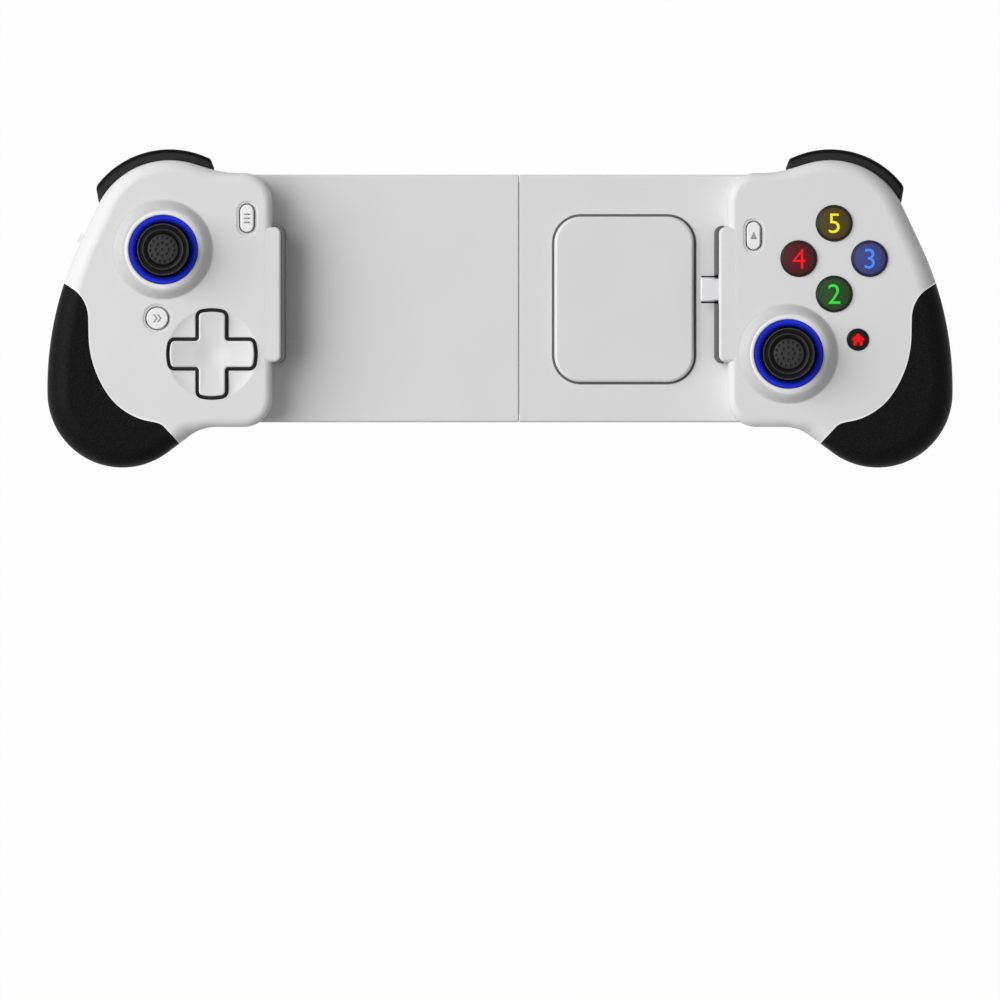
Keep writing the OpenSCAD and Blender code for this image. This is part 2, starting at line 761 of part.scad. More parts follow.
module pad_shape(grow)
  translate([-jaw_depth - cushion_t - pad_back, bridge_y + pad_lift])
    rounded(pad_size + 2 * [grow, grow], pad_r + grow);

module right_bridge_plate()
  color(plate_colour) side_right() difference() {
    bridge_plate(right_start);
    translate([0, 0, part_z - pad_sink]) linear_extrude(pad_sink + cut) pad_shape(pad_gap);
  }
module left_bridge_plate() color(plate_colour) side_left() bridge_plate(left_start);
module right_bridge_back() color(plate_colour) side_right() bridge_back(right_start);

module phone_pad()
  color(plate_colour) side_right()
    translate([0, 0, part_z - pad_sink]) linear_extrude(pad_sink + pad_rise) pad_shape(0);

// Slide tray: a flat tube held in the right box, running in the left one
tray_short = 2.4;
tray_end = inner_x - tray_short;
tray_low = channel_low + slide_gap;
tray_high = channel_high - slide_gap;
tray_z = back_top + slide_gap;
tray_top = plate_under - slide_gap;
tray_side = 4;
tray_floor = tray_z + tray_wall;
tray_ceiling = tray_top - tray_wall;
clamp_w = 4;
clamp_places = [seam_x + 2 * clamp_w, tray_end - 2 * clamp_w];
stop_back = 4;
stop_x = seam_x - stop_back;
stop_spread = 22;
stop_places = [bridge_y - stop_spread, bridge_y + stop_spread];
stop_slack = 0.3;
module slide_tray()
  color(tray_colour) difference() {
    union() {
      box([-tray_end, tray_low, tray_z], [tray_end, tray_high, tray_top]);
      for (x = clamp_places) box([x, tray_low, back_top], [x + clamp_w, tray_high, plate_under]);
    }
    box([-tray_end - cut, tray_low + tray_side, tray_floor],
      [tray_end + cut, tray_high - tray_side, tray_ceiling]);
    for (y = stop_places)
      box([stop_x - slide_travel - screw_r - stop_slack, y - screw_r - stop_slack, tray_z - cut],
        [stop_x + screw_r + stop_slack, y + screw_r + stop_slack, tray_floor + cut]);
  }

// Screws whose tips run in slots of the tray and stop the slide
module stop_screw_row(r, z0, z1)
  for (y = stop_places) translate([stop_x, y, z0]) cylinder(r = r, h = z1 - z0);
module stop_screws()
  color(metal_colour) {
    stop_screw_row(head_r, bridge_head_z, bridge_head_z + bridge_head_h);
    stop_screw_row(screw_r, bridge_head_z, tray_floor - screw_fit);
  }

// Constant force return spring: a steel ribbon wound on a spool, its free end held in the left box
spool_place = [30, 14];
spool_at = [inner_x - spool_place.x, bridge_y + spool_place.y];
spool_r = 4.5;
spring_clear = 0.2;
spring_t = 0.2;
spring_pitch = 0.7;
spring_turns = 4;
spring_steps = 24;
spring_z = tray_floor + 2 * spring_clear;
spring_top = tray_ceiling - 2 * spring_clear;
spring_r0 = spool_r + spring_clear;
spring_end_r = spring_r0 + spring_pitch * (spring_turns + 0.25);
spring_tail_y = spool_at.y + spring_end_r;
anchor_out = 1;
anchor_x = -inner_x - anchor_out;
anchor_t = 1.4;
anchor_w = 4;
function spiral(offset) = [
  for (i = [0 : spring_steps * spring_turns + spring_steps / 4])
    let (a = 360 * i / spring_steps, r = spring_r0 + offset + spring_pitch * a / 360)
    spool_at + r * [cos(a), sin(a)]
];
module spring_spool()
  color(black_colour) at(spool_at, tray_floor) cylinder(r = spool_r, h = spring_top - tray_floor);
module return_spring()
  color(metal_colour) translate([0, 0, spring_z]) linear_extrude(spring_top - spring_z)
    polygon(concat(
      spiral(spring_t), [[anchor_x, spring_tail_y + spring_t], [anchor_x, spring_tail_y]], reversed(spiral(0))
    ));

module left_bridge_back()
  color(plate_colour) difference() {
    union() {
      side_left() bridge_back(left_start);
      box([anchor_x - anchor_t, spring_tail_y - anchor_w / 2, back_top - bridge_wall / 2],
        [anchor_x, spring_tail_y + anchor_w / 2, spring_top]);
    }
    stop_screw_row(screw_r + screw_fit, bridge_back_z - cut, back_top + cut);
    stop_screw_row(head_r + screw_fit, bridge_back_z - cut, bridge_head_z + bridge_head_h);
  }

// Flat ribbon cable between the boards, folded twice so that it can run out with the slide
cable_bend_r = 1.2;
fold_r = 0.6;
fold_steps = 6;
cable_z = tray_floor + cable_clear;
cable_mid_z = cable_z + 2 * fold_r;
cable_top_z = cable_mid_z + 2 * fold_r;
cable_x = inner_x + cable_rise_x;
fold_back = 14;
fold_right_x = seam_x - fold_back;
fold_left_x = fold_right_x - slide_travel / 2;
function bend(centre, r, a0, a1) = [
  for (i = [0 : fold_steps]) let (a = lerp(a0, a1, i / fold_steps)) centre + r * [cos(a), sin(a)]
];
cable_path = concat(
  [[-cable_x, board_z]],
  bend([-cable_x + cable_bend_r, cable_top_z + cable_bend_r], cable_bend_r, 180, 270),
  bend([fold_right_x, cable_mid_z + fold_r], fold_r, 90, -90),
  bend([fold_left_x, cable_z + fold_r], fold_r, 90, 270),
  bend([cable_x - cable_bend_r, cable_z + cable_bend_r], cable_bend_r, 270, 360),
  [[cable_x, board_z]]
);
function path_normal(path, i) =
  let (d = unit(path[min(i + 1, len(path) - 1)] - path[max(i - 1, 0)])) [-d.y, d.x];
function path_side(path, offset) = [for (i = [0 : len(path) - 1]) path[i] + offset * path_normal(path, i)];
module ribbon_cable()
  color(black_colour) translate([0, cable_y + cable_w / 2, 0]) rotate([90, 0, 0]) linear_extrude(cable_w)
    polygon(concat(path_side(cable_path, cable_t / 2), reversed(path_side(cable_path, -cable_t / 2))));

// Plug
plug_wall = 0.35;
plug_slot = [6.7, 0.8];
plug_slot_depth = 5.5;
core_back = 0.3;
module usb_plug()
  color(metal_colour) side_right() difference() {
    plug_bar(0, plug_tip, plug_tail);
    plug_bar(-plug_wall, plug_tip - cut, plug_tail + cut);
  }
module usb_plug_core()
  color(black_colour) side_right() difference() {
    plug_bar(-plug_wall, plug_tip + core_back, plug_tail);
    box([plug_tip, plug_y - plug_slot.x / 2, plug_z - plug_slot.y / 2],
      [plug_tip + plug_slot_depth, plug_y + plug_slot.x / 2, plug_z + plug_slot.y / 2]);
  }
usb_board_size = [6.5, 10, 1];
module usb_board()
  color(board_colour) side_right()
    translate([plug_tail, plug_y - usb_board_size.y / 2, plug_z - usb_board_size.z / 2]) cube(usb_board_size);

// Boards, clamped between the posts of the two shells
board_inset = 6;
board_share = 0.83;
board_low = -30;
hole_fit = 0.4;
module board_shape()
  difference() {
    intersection() {
      polygon([for (s = rim) rim_point(s, board_inset)]);
      translate([0, board_low]) square([board_share * handle_width, far_out.x]);
    }
    for (p = shell_posts) translate(p) circle(screw_r + hole_fit);
    for (p = bridge_posts) translate(p) circle(bridge_post_r + hole_fit);
  }
module board() translate([0, 0, board_z]) linear_extrude(board_t) board_shape();
module right_board() color(board_colour) side_right() board();

// Cross pad pivot: a steel ball in a cup on the left board
ball_r = 2;
ball_fit = 0.05;
ball_rise = 3;
ball_z = board_top + ball_rise;
cup_r = 2.6;
cup_drop = 0.5;
module left_board()
  color(board_colour) side_left() {
    board();
    difference() {
      at(cross_at, board_top - board_t / 2)
        cylinder(r = cup_r, h = ball_z - cup_drop - board_top + board_t / 2);
      at(cross_at, ball_z) sphere(ball_r + ball_fit);
    }
  }
module cross_pivot() color(metal_colour) side_left() at(cross_at, ball_z) sphere(ball_r);

flange_clear = 0.3;
flange_t = 1.2;
flange_top = ceiling_z - flange_clear;
flange_z = flange_top - flange_t;

cross_flange_over = 0.4;
cross_flange_rise = 5.6;
cross_proud = 1.4;
cross_flange_r = cross_round + cross_gap + cross_flange_over;
cross_flange_z = board_top + cross_flange_rise;
cross_top = face_z + cross_proud;
cross_sink = 1.2;
cross_leg_at = 9.5;
cross_leg_r = 1.6;
cross_leg_rise = 3.5;
cross_leg_z = board_top + cross_leg_rise;
cross_hub_r = 3.2;
cross_hub_lift = 0.4;
cross_dome_rise = 2.3;
cross_dome_z = board_top + cross_dome_rise;
cross_dish_sphere = (cross_round * cross_round + cross_sink * cross_sink) / (2 * cross_sink);
module cross_pad()
  color(shell_colour) side_left() at(cross_at) difference() {
    union() {
      translate([0, 0, cross_flange_z]) cylinder(r = cross_flange_r, h = flange_t);
      translate([0, 0, cross_flange_z + flange_t / 2])
        linear_extrude(cross_top - cross_flange_z - flange_t / 2) cross_shape(0);
      translate([0, 0, ball_z + cross_hub_lift]) cylinder(r = cross_hub_r, h = cross_flange_z - ball_z);
      for (a = [0 : 90 : 270])
        rotate([0, 0, a]) translate([cross_leg_at, 0, cross_leg_z])
          cylinder(r = cross_leg_r, h = cross_flange_z - cross_leg_z + flange_t / 2);
    }
    translate([0, 0, ball_z]) sphere(ball_r + ball_fit);
    translate([0, 0, cross_top - cross_sink + cross_dish_sphere]) sphere(cross_dish_sphere);
  }

// Rubber membranes with a dome under each contact
sheet_t = 0.8;
sheet_margin = 1;
dome_low_r = 3.2;
dome_top_r = 2;
module membrane(r, hole_r, spread, top) {
  difference() {
    translate([0, 0, board_top]) cylinder(r = r, h = sheet_t);
    translate([0, 0, board_top - cut]) cylinder(r = hole_r, h = sheet_t + 2 * cut);
  }
  for (a = [0 : 90 : 270])
    rotate([0, 0, a]) translate([spread, 0, board_top + sheet_t / 2])
      cylinder(r1 = dome_low_r, r2 = dome_top_r, h = top - board_top - sheet_t / 2);
}
module cross_membrane()
  color(cushion_colour) side_left() at(cross_at)
    membrane(cross_leg_at + dome_low_r, cross_hub_r + hole_fit, cross_leg_at, cross_dome_z);

// Round button: plunger, flange behind the shell, body and low crown
plunger_r = 3;
face_proud = 1.2;
face_top = face_z + face_proud;
face_flange = 0.7;
face_crown = 0.7;
// Crown: [share of the radius, share of the crown's depth]
crown_profile = [[1, 1], [0.93, 0.5], [0.6, 0.12], [0, 0]];
face_plunger_rise = 4.5;
face_plunger_z = board_top + face_plunger_rise;
contact_clear = 0.15;
face_dome_z = face_plunger_z - face_travel - contact_clear;
module face_button(k, colour)
  color(colour) side_right() at(face_places[k]) rotate_extrude() polygon(concat(
    [[0, face_plunger_z], [plunger_r, face_plunger_z], [plunger_r, flange_z]],
    [for (z = [flange_z, flange_top]) [face_button_r + face_flange, z]], [[face_button_r, flange_top]],
    [for (p = crown_profile) [face_button_r * p.x, face_top - face_crown * p.y]]
  ));
module face_button_top() face_button(0, yellow_colour);
module face_button_right() face_button(1, blue_colour);
module face_button_bottom() face_button(2, green_colour);
module face_button_left() face_button(3, red_colour);
module face_membrane()
  color(cushion_colour) side_right() at(face_at)
    membrane(face_spread + dome_low_r + sheet_margin, face_spread / 2, face_spread, face_dome_z);

// Small buttons over switches on the boards
small_proud = 0.6;
small_top = face_z + small_proud;
switch_box = 3.4;
switch_box_h = 1.4;
switch_tip_r = 1;
switch_tip_rise = 2.2;
switch_tip_z = board_top + switch_tip_rise;
small_plunger_z = switch_tip_z + small_travel + contact_clear;
small_plunger_r = 1.6;
small_flange = 1;
module small_button() {
  translate([0, 0, flange_z]) linear_extrude(flange_t) offset(delta = small_flange) children();
  translate([0, 0, flange_z + flange_t / 2]) linear_extrude(small_top - flange_z - flange_t / 2) children();
  translate([0, 0, small_plunger_z])
    cylinder(r = small_plunger_r, h = flange_z - small_plunger_z + flange_t / 2);
}
module start_button() color(shell_colour) side_right() at(start_at) small_button() pill(pill_size);
module select_button() color(shell_colour) side_left() at(select_at) small_button() pill(pill_size);
module home_button() color(black_colour) side_right() at(home_at) small_button() circle(round_button_r);
module turbo_button() color(shell_colour) side_left() at(turbo_at) small_button() circle(round_button_r);

module board_switch() {
  translate([-switch_box / 2, -switch_box / 2, board_top]) cube([switch_box, switch_box, switch_box_h]);
  translate([0, 0, board_top + switch_box_h / 2])
    cylinder(r = switch_tip_r, h = switch_tip_z - board_top - switch_box_h / 2);
}
module right_switches() color(metal_colour) side_right() for (p = [start_at, home_at]) at(p) board_switch();
module left_switches() color(metal_colour) side_left() for (p = [select_at, turbo_at]) at(p) board_switch();

// Stick: housing with two ears, gimbal ring, hub, shaft with dust dome, cap
housing_w = 15;
housing_h = 3.2;
housing_floor = 0.8;
ear_in = 5.3;
ear_out = 6.6;
ear_w = 3.8;
ear_over = 1.4;
gimbal_pin_r = 0.8;
gimbal_fit = 0.06;
gimbal_in_r = 3.3;
gimbal_out_r = 4.7;
gimbal_half = 1;
hub_r = 2.7;
hub_half = 1.2;
rod_r = 1.5;
rod_fit = 0.05;
rod_low = -2.6;
dome_r = 8.6;
dome_t = 1.2;
dome_rim = 2.6;
dome_steps = 6;
neck_r = 3.2;
neck_fit = 0.05;
cap_rise = 13.2;
cap_h = 4.2;
cap_socket = 2;

module x_pin(r, x0, x1) translate([x0, 0, pivot_z]) rotate([0, 90, 0]) cylinder(r = r, h = x1 - x0);
module y_pin(r, y0, y1) rotate([0, 0, 90]) x_pin(r, y0, y1);

module stick_housing() {
  difference() {
    union() {
      translate([-housing_w / 2, -housing_w / 2, board_top]) cube([housing_w, housing_w, housing_h]);
      for (s = [0, 180])
        rotate([0, 0, s])
          box([ear_in, -ear_w / 2, board_top + housing_floor], [ear_out, ear_w / 2, pivot_z + ear_over]);
    }
    translate([0, 0, board_top + housing_floor]) cylinder(r = ear_in, h = 2 * housing_h + stick_pivot_rise);
    x_pin(gimbal_pin_r + gimbal_fit, -housing_w, housing_w);
  }
}
module stick_yoke() {
  difference() {
    union() {
      translate([0, 0, pivot_z - gimbal_half]) cylinder(r = gimbal_out_r, h = 2 * gimbal_half);
      x_pin(gimbal_pin_r, -ear_out, ear_out);
    }
    translate([0, 0, pivot_z - 2 * gimbal_half]) cylinder(r = gimbal_in_r, h = 4 * gimbal_half);
    y_pin(gimbal_pin_r + gimbal_fit, -housing_w, housing_w);
  }
}
module stick_hub() {
  difference() {
    union() {
      translate([0, 0, pivot_z - hub_half]) cylinder(r = hub_r, h = 2 * hub_half);
      y_pin(gimbal_pin_r, -gimbal_out_r, gimbal_out_r);
    }
    translate([0, 0, pivot_z - 2 * hub_half]) cylinder(r = rod_r + rod_fit, h = 4 * hub_half);
  }
}
// Part of a circle about the pivot between two radii, seen as [radius, height]
function dome_arc(r, from_r, to_height) =
  let (a0 = acos(from_r / r), a1 = asin(to_height / r))
  [for (i = [0 : dome_steps]) let (a = lerp(a0, a1, i / dome_steps)) r * [cos(a), sin(a)]];
module stick_shaft()
  translate([0, 0, pivot_z]) rotate_extrude() polygon(concat(
    [[0, rod_low], [rod_r, rod_low]],
    dome_arc(dome_r - dome_t, rod_r, dome_rim),
    reversed(dome_arc(dome_r, neck_r, dome_rim)),
    [[neck_r, cap_rise + cap_socket - neck_fit], [0, cap_rise + cap_socket - neck_fit]]
  ));
// Skirt of the cap: [in from its edge, up from its foot]
cap_skirt = [[1.2, 0], [0, 0.9]];
// Rim of the cap: [in from its edge, down from its top]
cap_rim = [[0, 1], [0.4, 0.3], [1, 0], [1.4, 0.1]];
// Groove and centre disc: [out from the disc's edge, down from the cap's top]
cap_disc_r = 4.8;
cap_disc = [[0.6, 0.9], [0, 0.9], [-0.3, 0.5], [-cap_disc_r, 0.4]];
module stick_cap()
  translate([0, 0, pivot_z + cap_rise]) rotate_extrude() polygon(concat(
    [[neck_r + neck_fit, 0]],
    [for (p = cap_skirt) [stick_cap_r - p.x, p.y]],
    [for (p = cap_rim) [stick_cap_r - p.x, cap_h - p.y]],
    [for (p = cap_disc) [cap_disc_r + p.x, cap_h - p.y]],
    [[0, cap_socket], [neck_r + neck_fit, cap_socket]]
  ));
// Top of the light ring, falling toward the stick: [in from its outer edge, below the boss]
ring_w = ring_out_r - ring_in_r;
ring_top = [[0, 0.5], [0.3, 0.2], [ring_w - 0.3, 0.6], [ring_w, 0.9]];
module light_ring()
  rotate_extrude() polygon(concat(
    [[ring_in_r, ring_z], [ring_out_r, ring_z]],
    [for (p = ring_top) [ring_out_r - p.x, boss_z - p.y]]
  ));

module right_stick_housing() color(metal_colour) side_right() at(stick_right_at) stick_housing();
module right_stick_yoke() color(black_colour) side_right() at(stick_right_at) stick_yoke();
module right_stick_hub() color(shell_colour) side_right() at(stick_right_at) stick_hub();
module right_stick_shaft() color(black_colour) side_right() at(stick_right_at) stick_shaft();
module right_stick_cap() color(black_colour) side_right() at(stick_right_at) stick_cap();
module right_light_ring() color(light_colour) side_right() at(stick_right_at) light_ring();
module left_stick_housing() color(metal_colour) side_left() at(stick_left_at) stick_housing();
module left_stick_yoke() color(black_colour) side_left() at(stick_left_at) stick_yoke();
module left_stick_hub() color(shell_colour) side_left() at(stick_left_at) stick_hub();
module left_stick_shaft() color(black_colour) side_left() at(stick_left_at) stick_shaft();
module left_stick_cap() color(black_colour) side_left() at(stick_left_at) stick_cap();
module left_light_ring() color(light_colour) side_left() at(stick_left_at) light_ring();

// Screws
module screws() {
  for (p = shell_posts) {
    at(p, head_seat_z - head_h) cylinder(r = head_r, h = head_h);
    at(p, head_seat_z - head_h) cylinder(r = screw_r, h = shell_screw_top - head_seat_z + head_h);
  }
  for (p = bridge_posts) {
    at(p, bridge_head_z) cylinder(r = head_r, h = bridge_head_h);
    at(p, bridge_head_z) cylinder(r = screw_r, h = bridge_screw_top - bridge_head_z);
  }
}
module right_screws() color(metal_colour) side_right() screws();
module left_screws() color(metal_colour) side_left() screws();

// Shoulder controls
bumper_round = 2;
bumper_soft = 0.6;
module bumper() {
  difference() {
    union() {
      intersection() {
        shoulder_band(bumper_first, bumper_last, [
          [bumper_in_r, bumper_z], [bumper_out_r - bumper_round, bumper_z],
          [bumper_out_r - bumper_soft, bumper_z + bumper_soft], [bumper_out_r, bumper_z + bumper_round],
          [bumper_out_r, bumper_top - bumper_round], [bumper_out_r - bumper_soft, bumper_top - bumper_soft],
          [bumper_out_r - bumper_round, bumper_top], [bumper_in_r, bumper_top]
        ]);
        at(shoulder_centre) linear_extrude(face_z) polygon(bumper_trim);
      }
      at(bumper_pivot, bumper_z + bumper_gap) cylinder(r = bumper_hub_r, h = bumper_h - 2 * bumper_gap);
    }
    at(bumper_pivot, bumper_z - cut) cylinder(r = bumper_post_r + bumper_post_fit, h = bumper_h + 2 * cut);
  }
}
module right_bumper() color(black_colour) side_right() bumper();
module left_bumper() color(black_colour) side_left() bumper();

paddle_back = 9.2;
paddle_drop = 2.2;
paddle_centre = [trigger_pin_at.x - paddle_back, part_z - paddle_drop];
paddle_r = 16;
paddle_t = 2.8;
paddle_first = -58;
paddle_last = 6;
trigger_hub_r = 2.4;
trigger_hub_w = 6;
trigger_fit = 0.08;
web_half = 1.4;
module paddle_shape()
  intersection() {
    translate(paddle_centre) difference() {
      circle(paddle_r);
      circle(paddle_r - paddle_t);
    }
    translate(paddle_centre) polygon([
      [0, 0], 2 * paddle_r * [cos(paddle_first), sin(paddle_first)], [2 * paddle_r, 0],
      2 * paddle_r * [cos(paddle_last), sin(paddle_last)]
    ]);
  }
module trigger() {
  difference() {
    union() {
      along_x(trigger_from, trigger_to) paddle_shape();
      for (x = [trigger_from, trigger_to - trigger_hub_w]) {
        trigger_axis(trigger_hub_r, x, x + trigger_hub_w);
        box([x, trigger_pin_at.x, trigger_pin_at.y - web_half],
          [x + trigger_hub_w, paddle_centre.x + paddle_r - paddle_t / 2, trigger_pin_at.y + web_half]);
      }
    }
    trigger_axis(trigger_pin_r + trigger_fit, trigger_from - cut, trigger_to + cut);
  }
}
module trigger_pin()
  trigger_axis(trigger_pin_r, trigger_from - trigger_gap - ear_t, trigger_to + trigger_gap + ear_t);
// Torsion spring between the two hubs, its leg against the back of the paddle
coil_clear = 0.2;
coil_t = 0.6;
coil_from = trigger_from + trigger_hub_w + trigger_gap;
coil_to = trigger_to - trigger_hub_w - trigger_gap;
module trigger_spring() {
  difference() {
    trigger_axis(trigger_pin_r + coil_clear + coil_t, coil_from, coil_to);
    trigger_axis(trigger_pin_r + coil_clear, coil_from - cut, coil_to + cut);
  }
  box([coil_from, trigger_pin_at.x + trigger_pin_r + coil_clear, trigger_pin_at.y - coil_t / 2],
    [coil_from + coil_t, paddle_centre.x + paddle_r - paddle_t - coil_clear, trigger_pin_at.y + coil_t / 2]);
}
module right_trigger() color(black_colour) side_right() trigger();
module left_trigger() color(black_colour) side_left() trigger();
module right_trigger_pin() color(metal_colour) side_right() trigger_pin();
module left_trigger_pin() color(metal_colour) side_left() trigger_pin();
module right_trigger_spring() color(metal_colour) side_right() trigger_spring();
module left_trigger_spring() color(metal_colour) side_left() trigger_spring();

// Knob of the side switch: a nub outside, a plate behind the wall
knob_proud = 1.3;
knob_plate = [6.4, 4.2, 1.2];
module side_switch()
  color(shell_colour) side_left() on_flank() {
    box([-wall - switch_gap - knob_plate.z / 2, -switch_knob.x / 2, -switch_knob.y / 2],
      [knob_proud, switch_knob.x / 2, switch_knob.y / 2]);
    translate([-wall - switch_gap - knob_plate.z / 2, 0, 0])
      cube([knob_plate.z, knob_plate.x, knob_plate.y], center = true);
  }

right_front_shell();
right_rear_shell();
right_grip();
right_jaw_cushion();
right_bridge_plate();
right_bridge_back();
phone_pad();
slide_tray();
usb_plug();
usb_plug_core();
usb_board();
right_board();
right_stick_housing();
right_light_ring();
face_membrane();
right_switches();
right_screws();
spring_spool();
return_spring();
ribbon_cable();
right_trigger_pin();
right_stick_yoke();
right_stick_hub();
right_stick_shaft();
right_stick_cap();
face_button_top();
face_button_right();
face_button_bottom();
face_button_left();
start_button();
home_button();
right_bumper();
right_trigger();
right_trigger_spring();
left_front_shell();
left_rear_shell();
left_grip();
left_jaw_cushion();
left_bridge_plate();
left_bridge_back();
stop_screws();
left_board();
left_stick_housing();
left_light_ring();
cross_membrane();
left_switches();
left_screws();
left_trigger_pin();
left_stick_yoke();
left_stick_hub();
left_stick_shaft();
left_stick_cap();
cross_pivot();
cross_pad();
select_button();
turbo_button();
left_bumper();
left_trigger();
left_trigger_spring();
side_switch();
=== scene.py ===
"""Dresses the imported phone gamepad: models its visible pieces, finishes every piece and sets the stage.

Pieces are drawn in millimetres in the CAD frame and scaled to metres when they are finished.
A handle piece is drawn for the right side, with X = INNER_X + distance out from the handle's inner edge,
and mirrored when it belongs to the left handle.
"""

import functools
import json
import math

import bmesh
import bpy
from mathutils import Matrix, Vector


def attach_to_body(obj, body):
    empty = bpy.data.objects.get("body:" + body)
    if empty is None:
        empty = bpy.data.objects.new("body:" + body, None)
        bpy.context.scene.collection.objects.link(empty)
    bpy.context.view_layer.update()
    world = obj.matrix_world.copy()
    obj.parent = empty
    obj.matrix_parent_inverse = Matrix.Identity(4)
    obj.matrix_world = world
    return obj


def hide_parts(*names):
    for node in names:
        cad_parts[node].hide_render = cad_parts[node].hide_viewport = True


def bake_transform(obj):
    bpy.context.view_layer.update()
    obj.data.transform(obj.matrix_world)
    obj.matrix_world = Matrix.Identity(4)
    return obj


bl_info = {
    "name": "Phone Gamepad",
    "version": (1, 0, 0),
    "blender": (4, 5, 0),
    "location": "View3D > Sidebar > Gamepad",
    "description": "Models and finishes the visible pieces of a telescopic phone gamepad",
    "category": "Object",
}

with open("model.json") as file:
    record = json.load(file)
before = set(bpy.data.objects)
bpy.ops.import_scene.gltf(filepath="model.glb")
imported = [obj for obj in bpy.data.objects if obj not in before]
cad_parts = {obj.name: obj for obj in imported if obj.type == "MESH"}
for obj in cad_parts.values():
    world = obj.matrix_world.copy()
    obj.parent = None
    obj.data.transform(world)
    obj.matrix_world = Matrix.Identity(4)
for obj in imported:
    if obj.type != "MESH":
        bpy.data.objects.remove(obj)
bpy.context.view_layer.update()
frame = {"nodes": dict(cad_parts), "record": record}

MM = 0.001
SIDES = ("right", "left")

# Working values of the modelling: merging distances, the least gap between faces, steps and shading angles
TINY = 0.0005
MERGE = 0.004
NEARLY = 0.001
HAIR = 0.02
LATHE_STEPS = 96
FINE_STEPS = 32
FULL_TURN = (0, 360)
SHARP = 38

# Levels and places of the CAD model
INNER_X = 68.4
PART_Z = 20.0
FACE_Z = 34.0
WALL = 2.2
CEILING_Z = FACE_Z - WALL
BRIDGE_BACK_Z = 9.0
BRIDGE_WALL = 2.0
BRIDGE_LOW = -34.05
BRIDGE_HIGH = 40.35
BRIDGE_REACH = 78.0
SEAM_X = 5.65
SEAM_GAP = 0.3
REAR_START = 9.9
# How far cutters reach: outwards, below and above the object, and through the face
FAR = 90.0
UNDER, OVER = -5.0, 60.0
CUT_FOOT, CUT_TOP = CEILING_Z - 1, FACE_Z + 3
PAST = 1.0

# Handle outline: rounded corners, counter-clockwise from the lower inner one
HANDLE_CORNERS = [
    (0, -35.45), (21.2, -35.45), (67.5, -70.217), (67.5, -1.5), (43.656, 49.633), (14.6, 40.75), (0, 40.75),
]
HANDLE_RADII = [8.5, 13, 22.5, 100, 24, 30, 8.5]
HANDLE_STEPS = [10, 8, 26, 18, 24, 6, 10]
# Width and height of the rounded front edge, and width of the rounded back, at each corner
FRONT_WIDTH = [2.6, 3, 7, 6.5, 4, 3, 2.6]
FRONT_HEIGHT = [2.4, 3, 8, 7, 4.2, 3, 2.4]
REAR_WIDTH = [6, 7, 15, 14, 11, 7, 6]
FRONT_ANGLES = [0, 11, 22, 33, 44, 55, 66, 78, 90]
REAR_ANGLES = [10, 20, 30, 40, 50, 60, 70, 80, 90]
FLOOR_PLACES = [0.05, 0.15, 0.25, 0.36, 0.48, 0.6, 0.72, 0.84, 0.93]
FORM_CENTRE = Vector((36, -4))
LEAST_ROUND = 0.4
MAIN_BACK_Z = 6.5
PALM_START, PALM_LENGTH = 9, 22
TOP_START, TOP_LENGTH, TOP_LIFT = 22, 26, 4

# Line between shell and grip, closed far outside the handle
GRIP_CORNERS = [
    (70, 12.6), (55.4, 3), (55, -17), (45.5, -32), (33.6, -34.4), (26, -42.5),
    (27, -FAR), (FAR, -FAR), (FAR, 12.6),
]
GRIP_RADII = [0, 11, 32, 19, 5, 0, 0, 0, 0]
GRIP_STEPS = [0, 12, 12, 14, 8, 0, 0, 0, 0]
GRIP_SEAM = 0.15
# Width of the shell's edge along the grip that is drawn in brighter white, a painted highlight
GRIP_HIGHLIGHT_LIP = 0.55
GRIP_WALL = 3.5

# Controls, in handle coordinates
STICK_AT = {"left": Vector((32.6025, 17.7)), "right": Vector((18.2, -13.6))}
CROSS_AT = Vector((18, -13.6))
CROSS_GAP = 1.1
FACE_AT = Vector((31.86, 15))
FACE_SPREAD = 10.6
FACE_BUTTON_R = 5.35
TURBO_AT = Vector((34.425, -2.9))
HOME_AT = Vector((39.015, -9.3))
ROUND_BUTTON_R = 3.2
SELECT_AT = Vector((7.5, 27.1))
START_AT = Vector((7.7, 21.9))
PILL, PILL_R = Vector((4, 8.2)), 1.99
FACE_GAP = 0.12
HOLE_LIP = 0.2
SMALL_GAP = 0.42
SMALL_TOP = FACE_Z + 0.6
FLANGE_Z, FLANGE_TOP = 30.3, 31.5
CROWN_TOP, CROWN_DEPTH = FACE_Z + 1.2, 0.42
MARK_LIFT = 0.03

# Screws: places, and levels of head, seat and tip
SHELL_POSTS = [Vector((48.5, 4)), Vector((15, 34)), Vector((34, -24)), Vector((14.5, 6))]
SHELL_SCREW = (10.4, 12.0, 29.0)
BRIDGE_POSTS = [Vector((6.2, 35.85)), Vector((5.5, -29.55))]
BRIDGE_SCREW = (9.2, 10.4, 26.0)
STOP_PLACES = [Vector((1.65, 25.15)), Vector((1.65, -18.85))]
STOP_SCREW = (9.2, 10.4, 12.6)
SCREW_R, SCREW_HEAD_R, SCREW_SOFT = 1.0, 2.4, 0.45
WELL_R, WELL_TUBE_R, WELL_TOP = 2.6, 4.2, PART_Z + 1.4

# Sticks
PIVOT_Z = 27.5
RING_IN_R, RING_OUT_R = 8.1, 10.4
RING_Z = 33.0
BOSS_BORE_R = 10.5
BOSS_R = 15.0
BOSS_RISE = 2.2
CAP_RISE, CAP_HEIGHT = 13.2, 4.2
CAP_DISC_R = 4.8
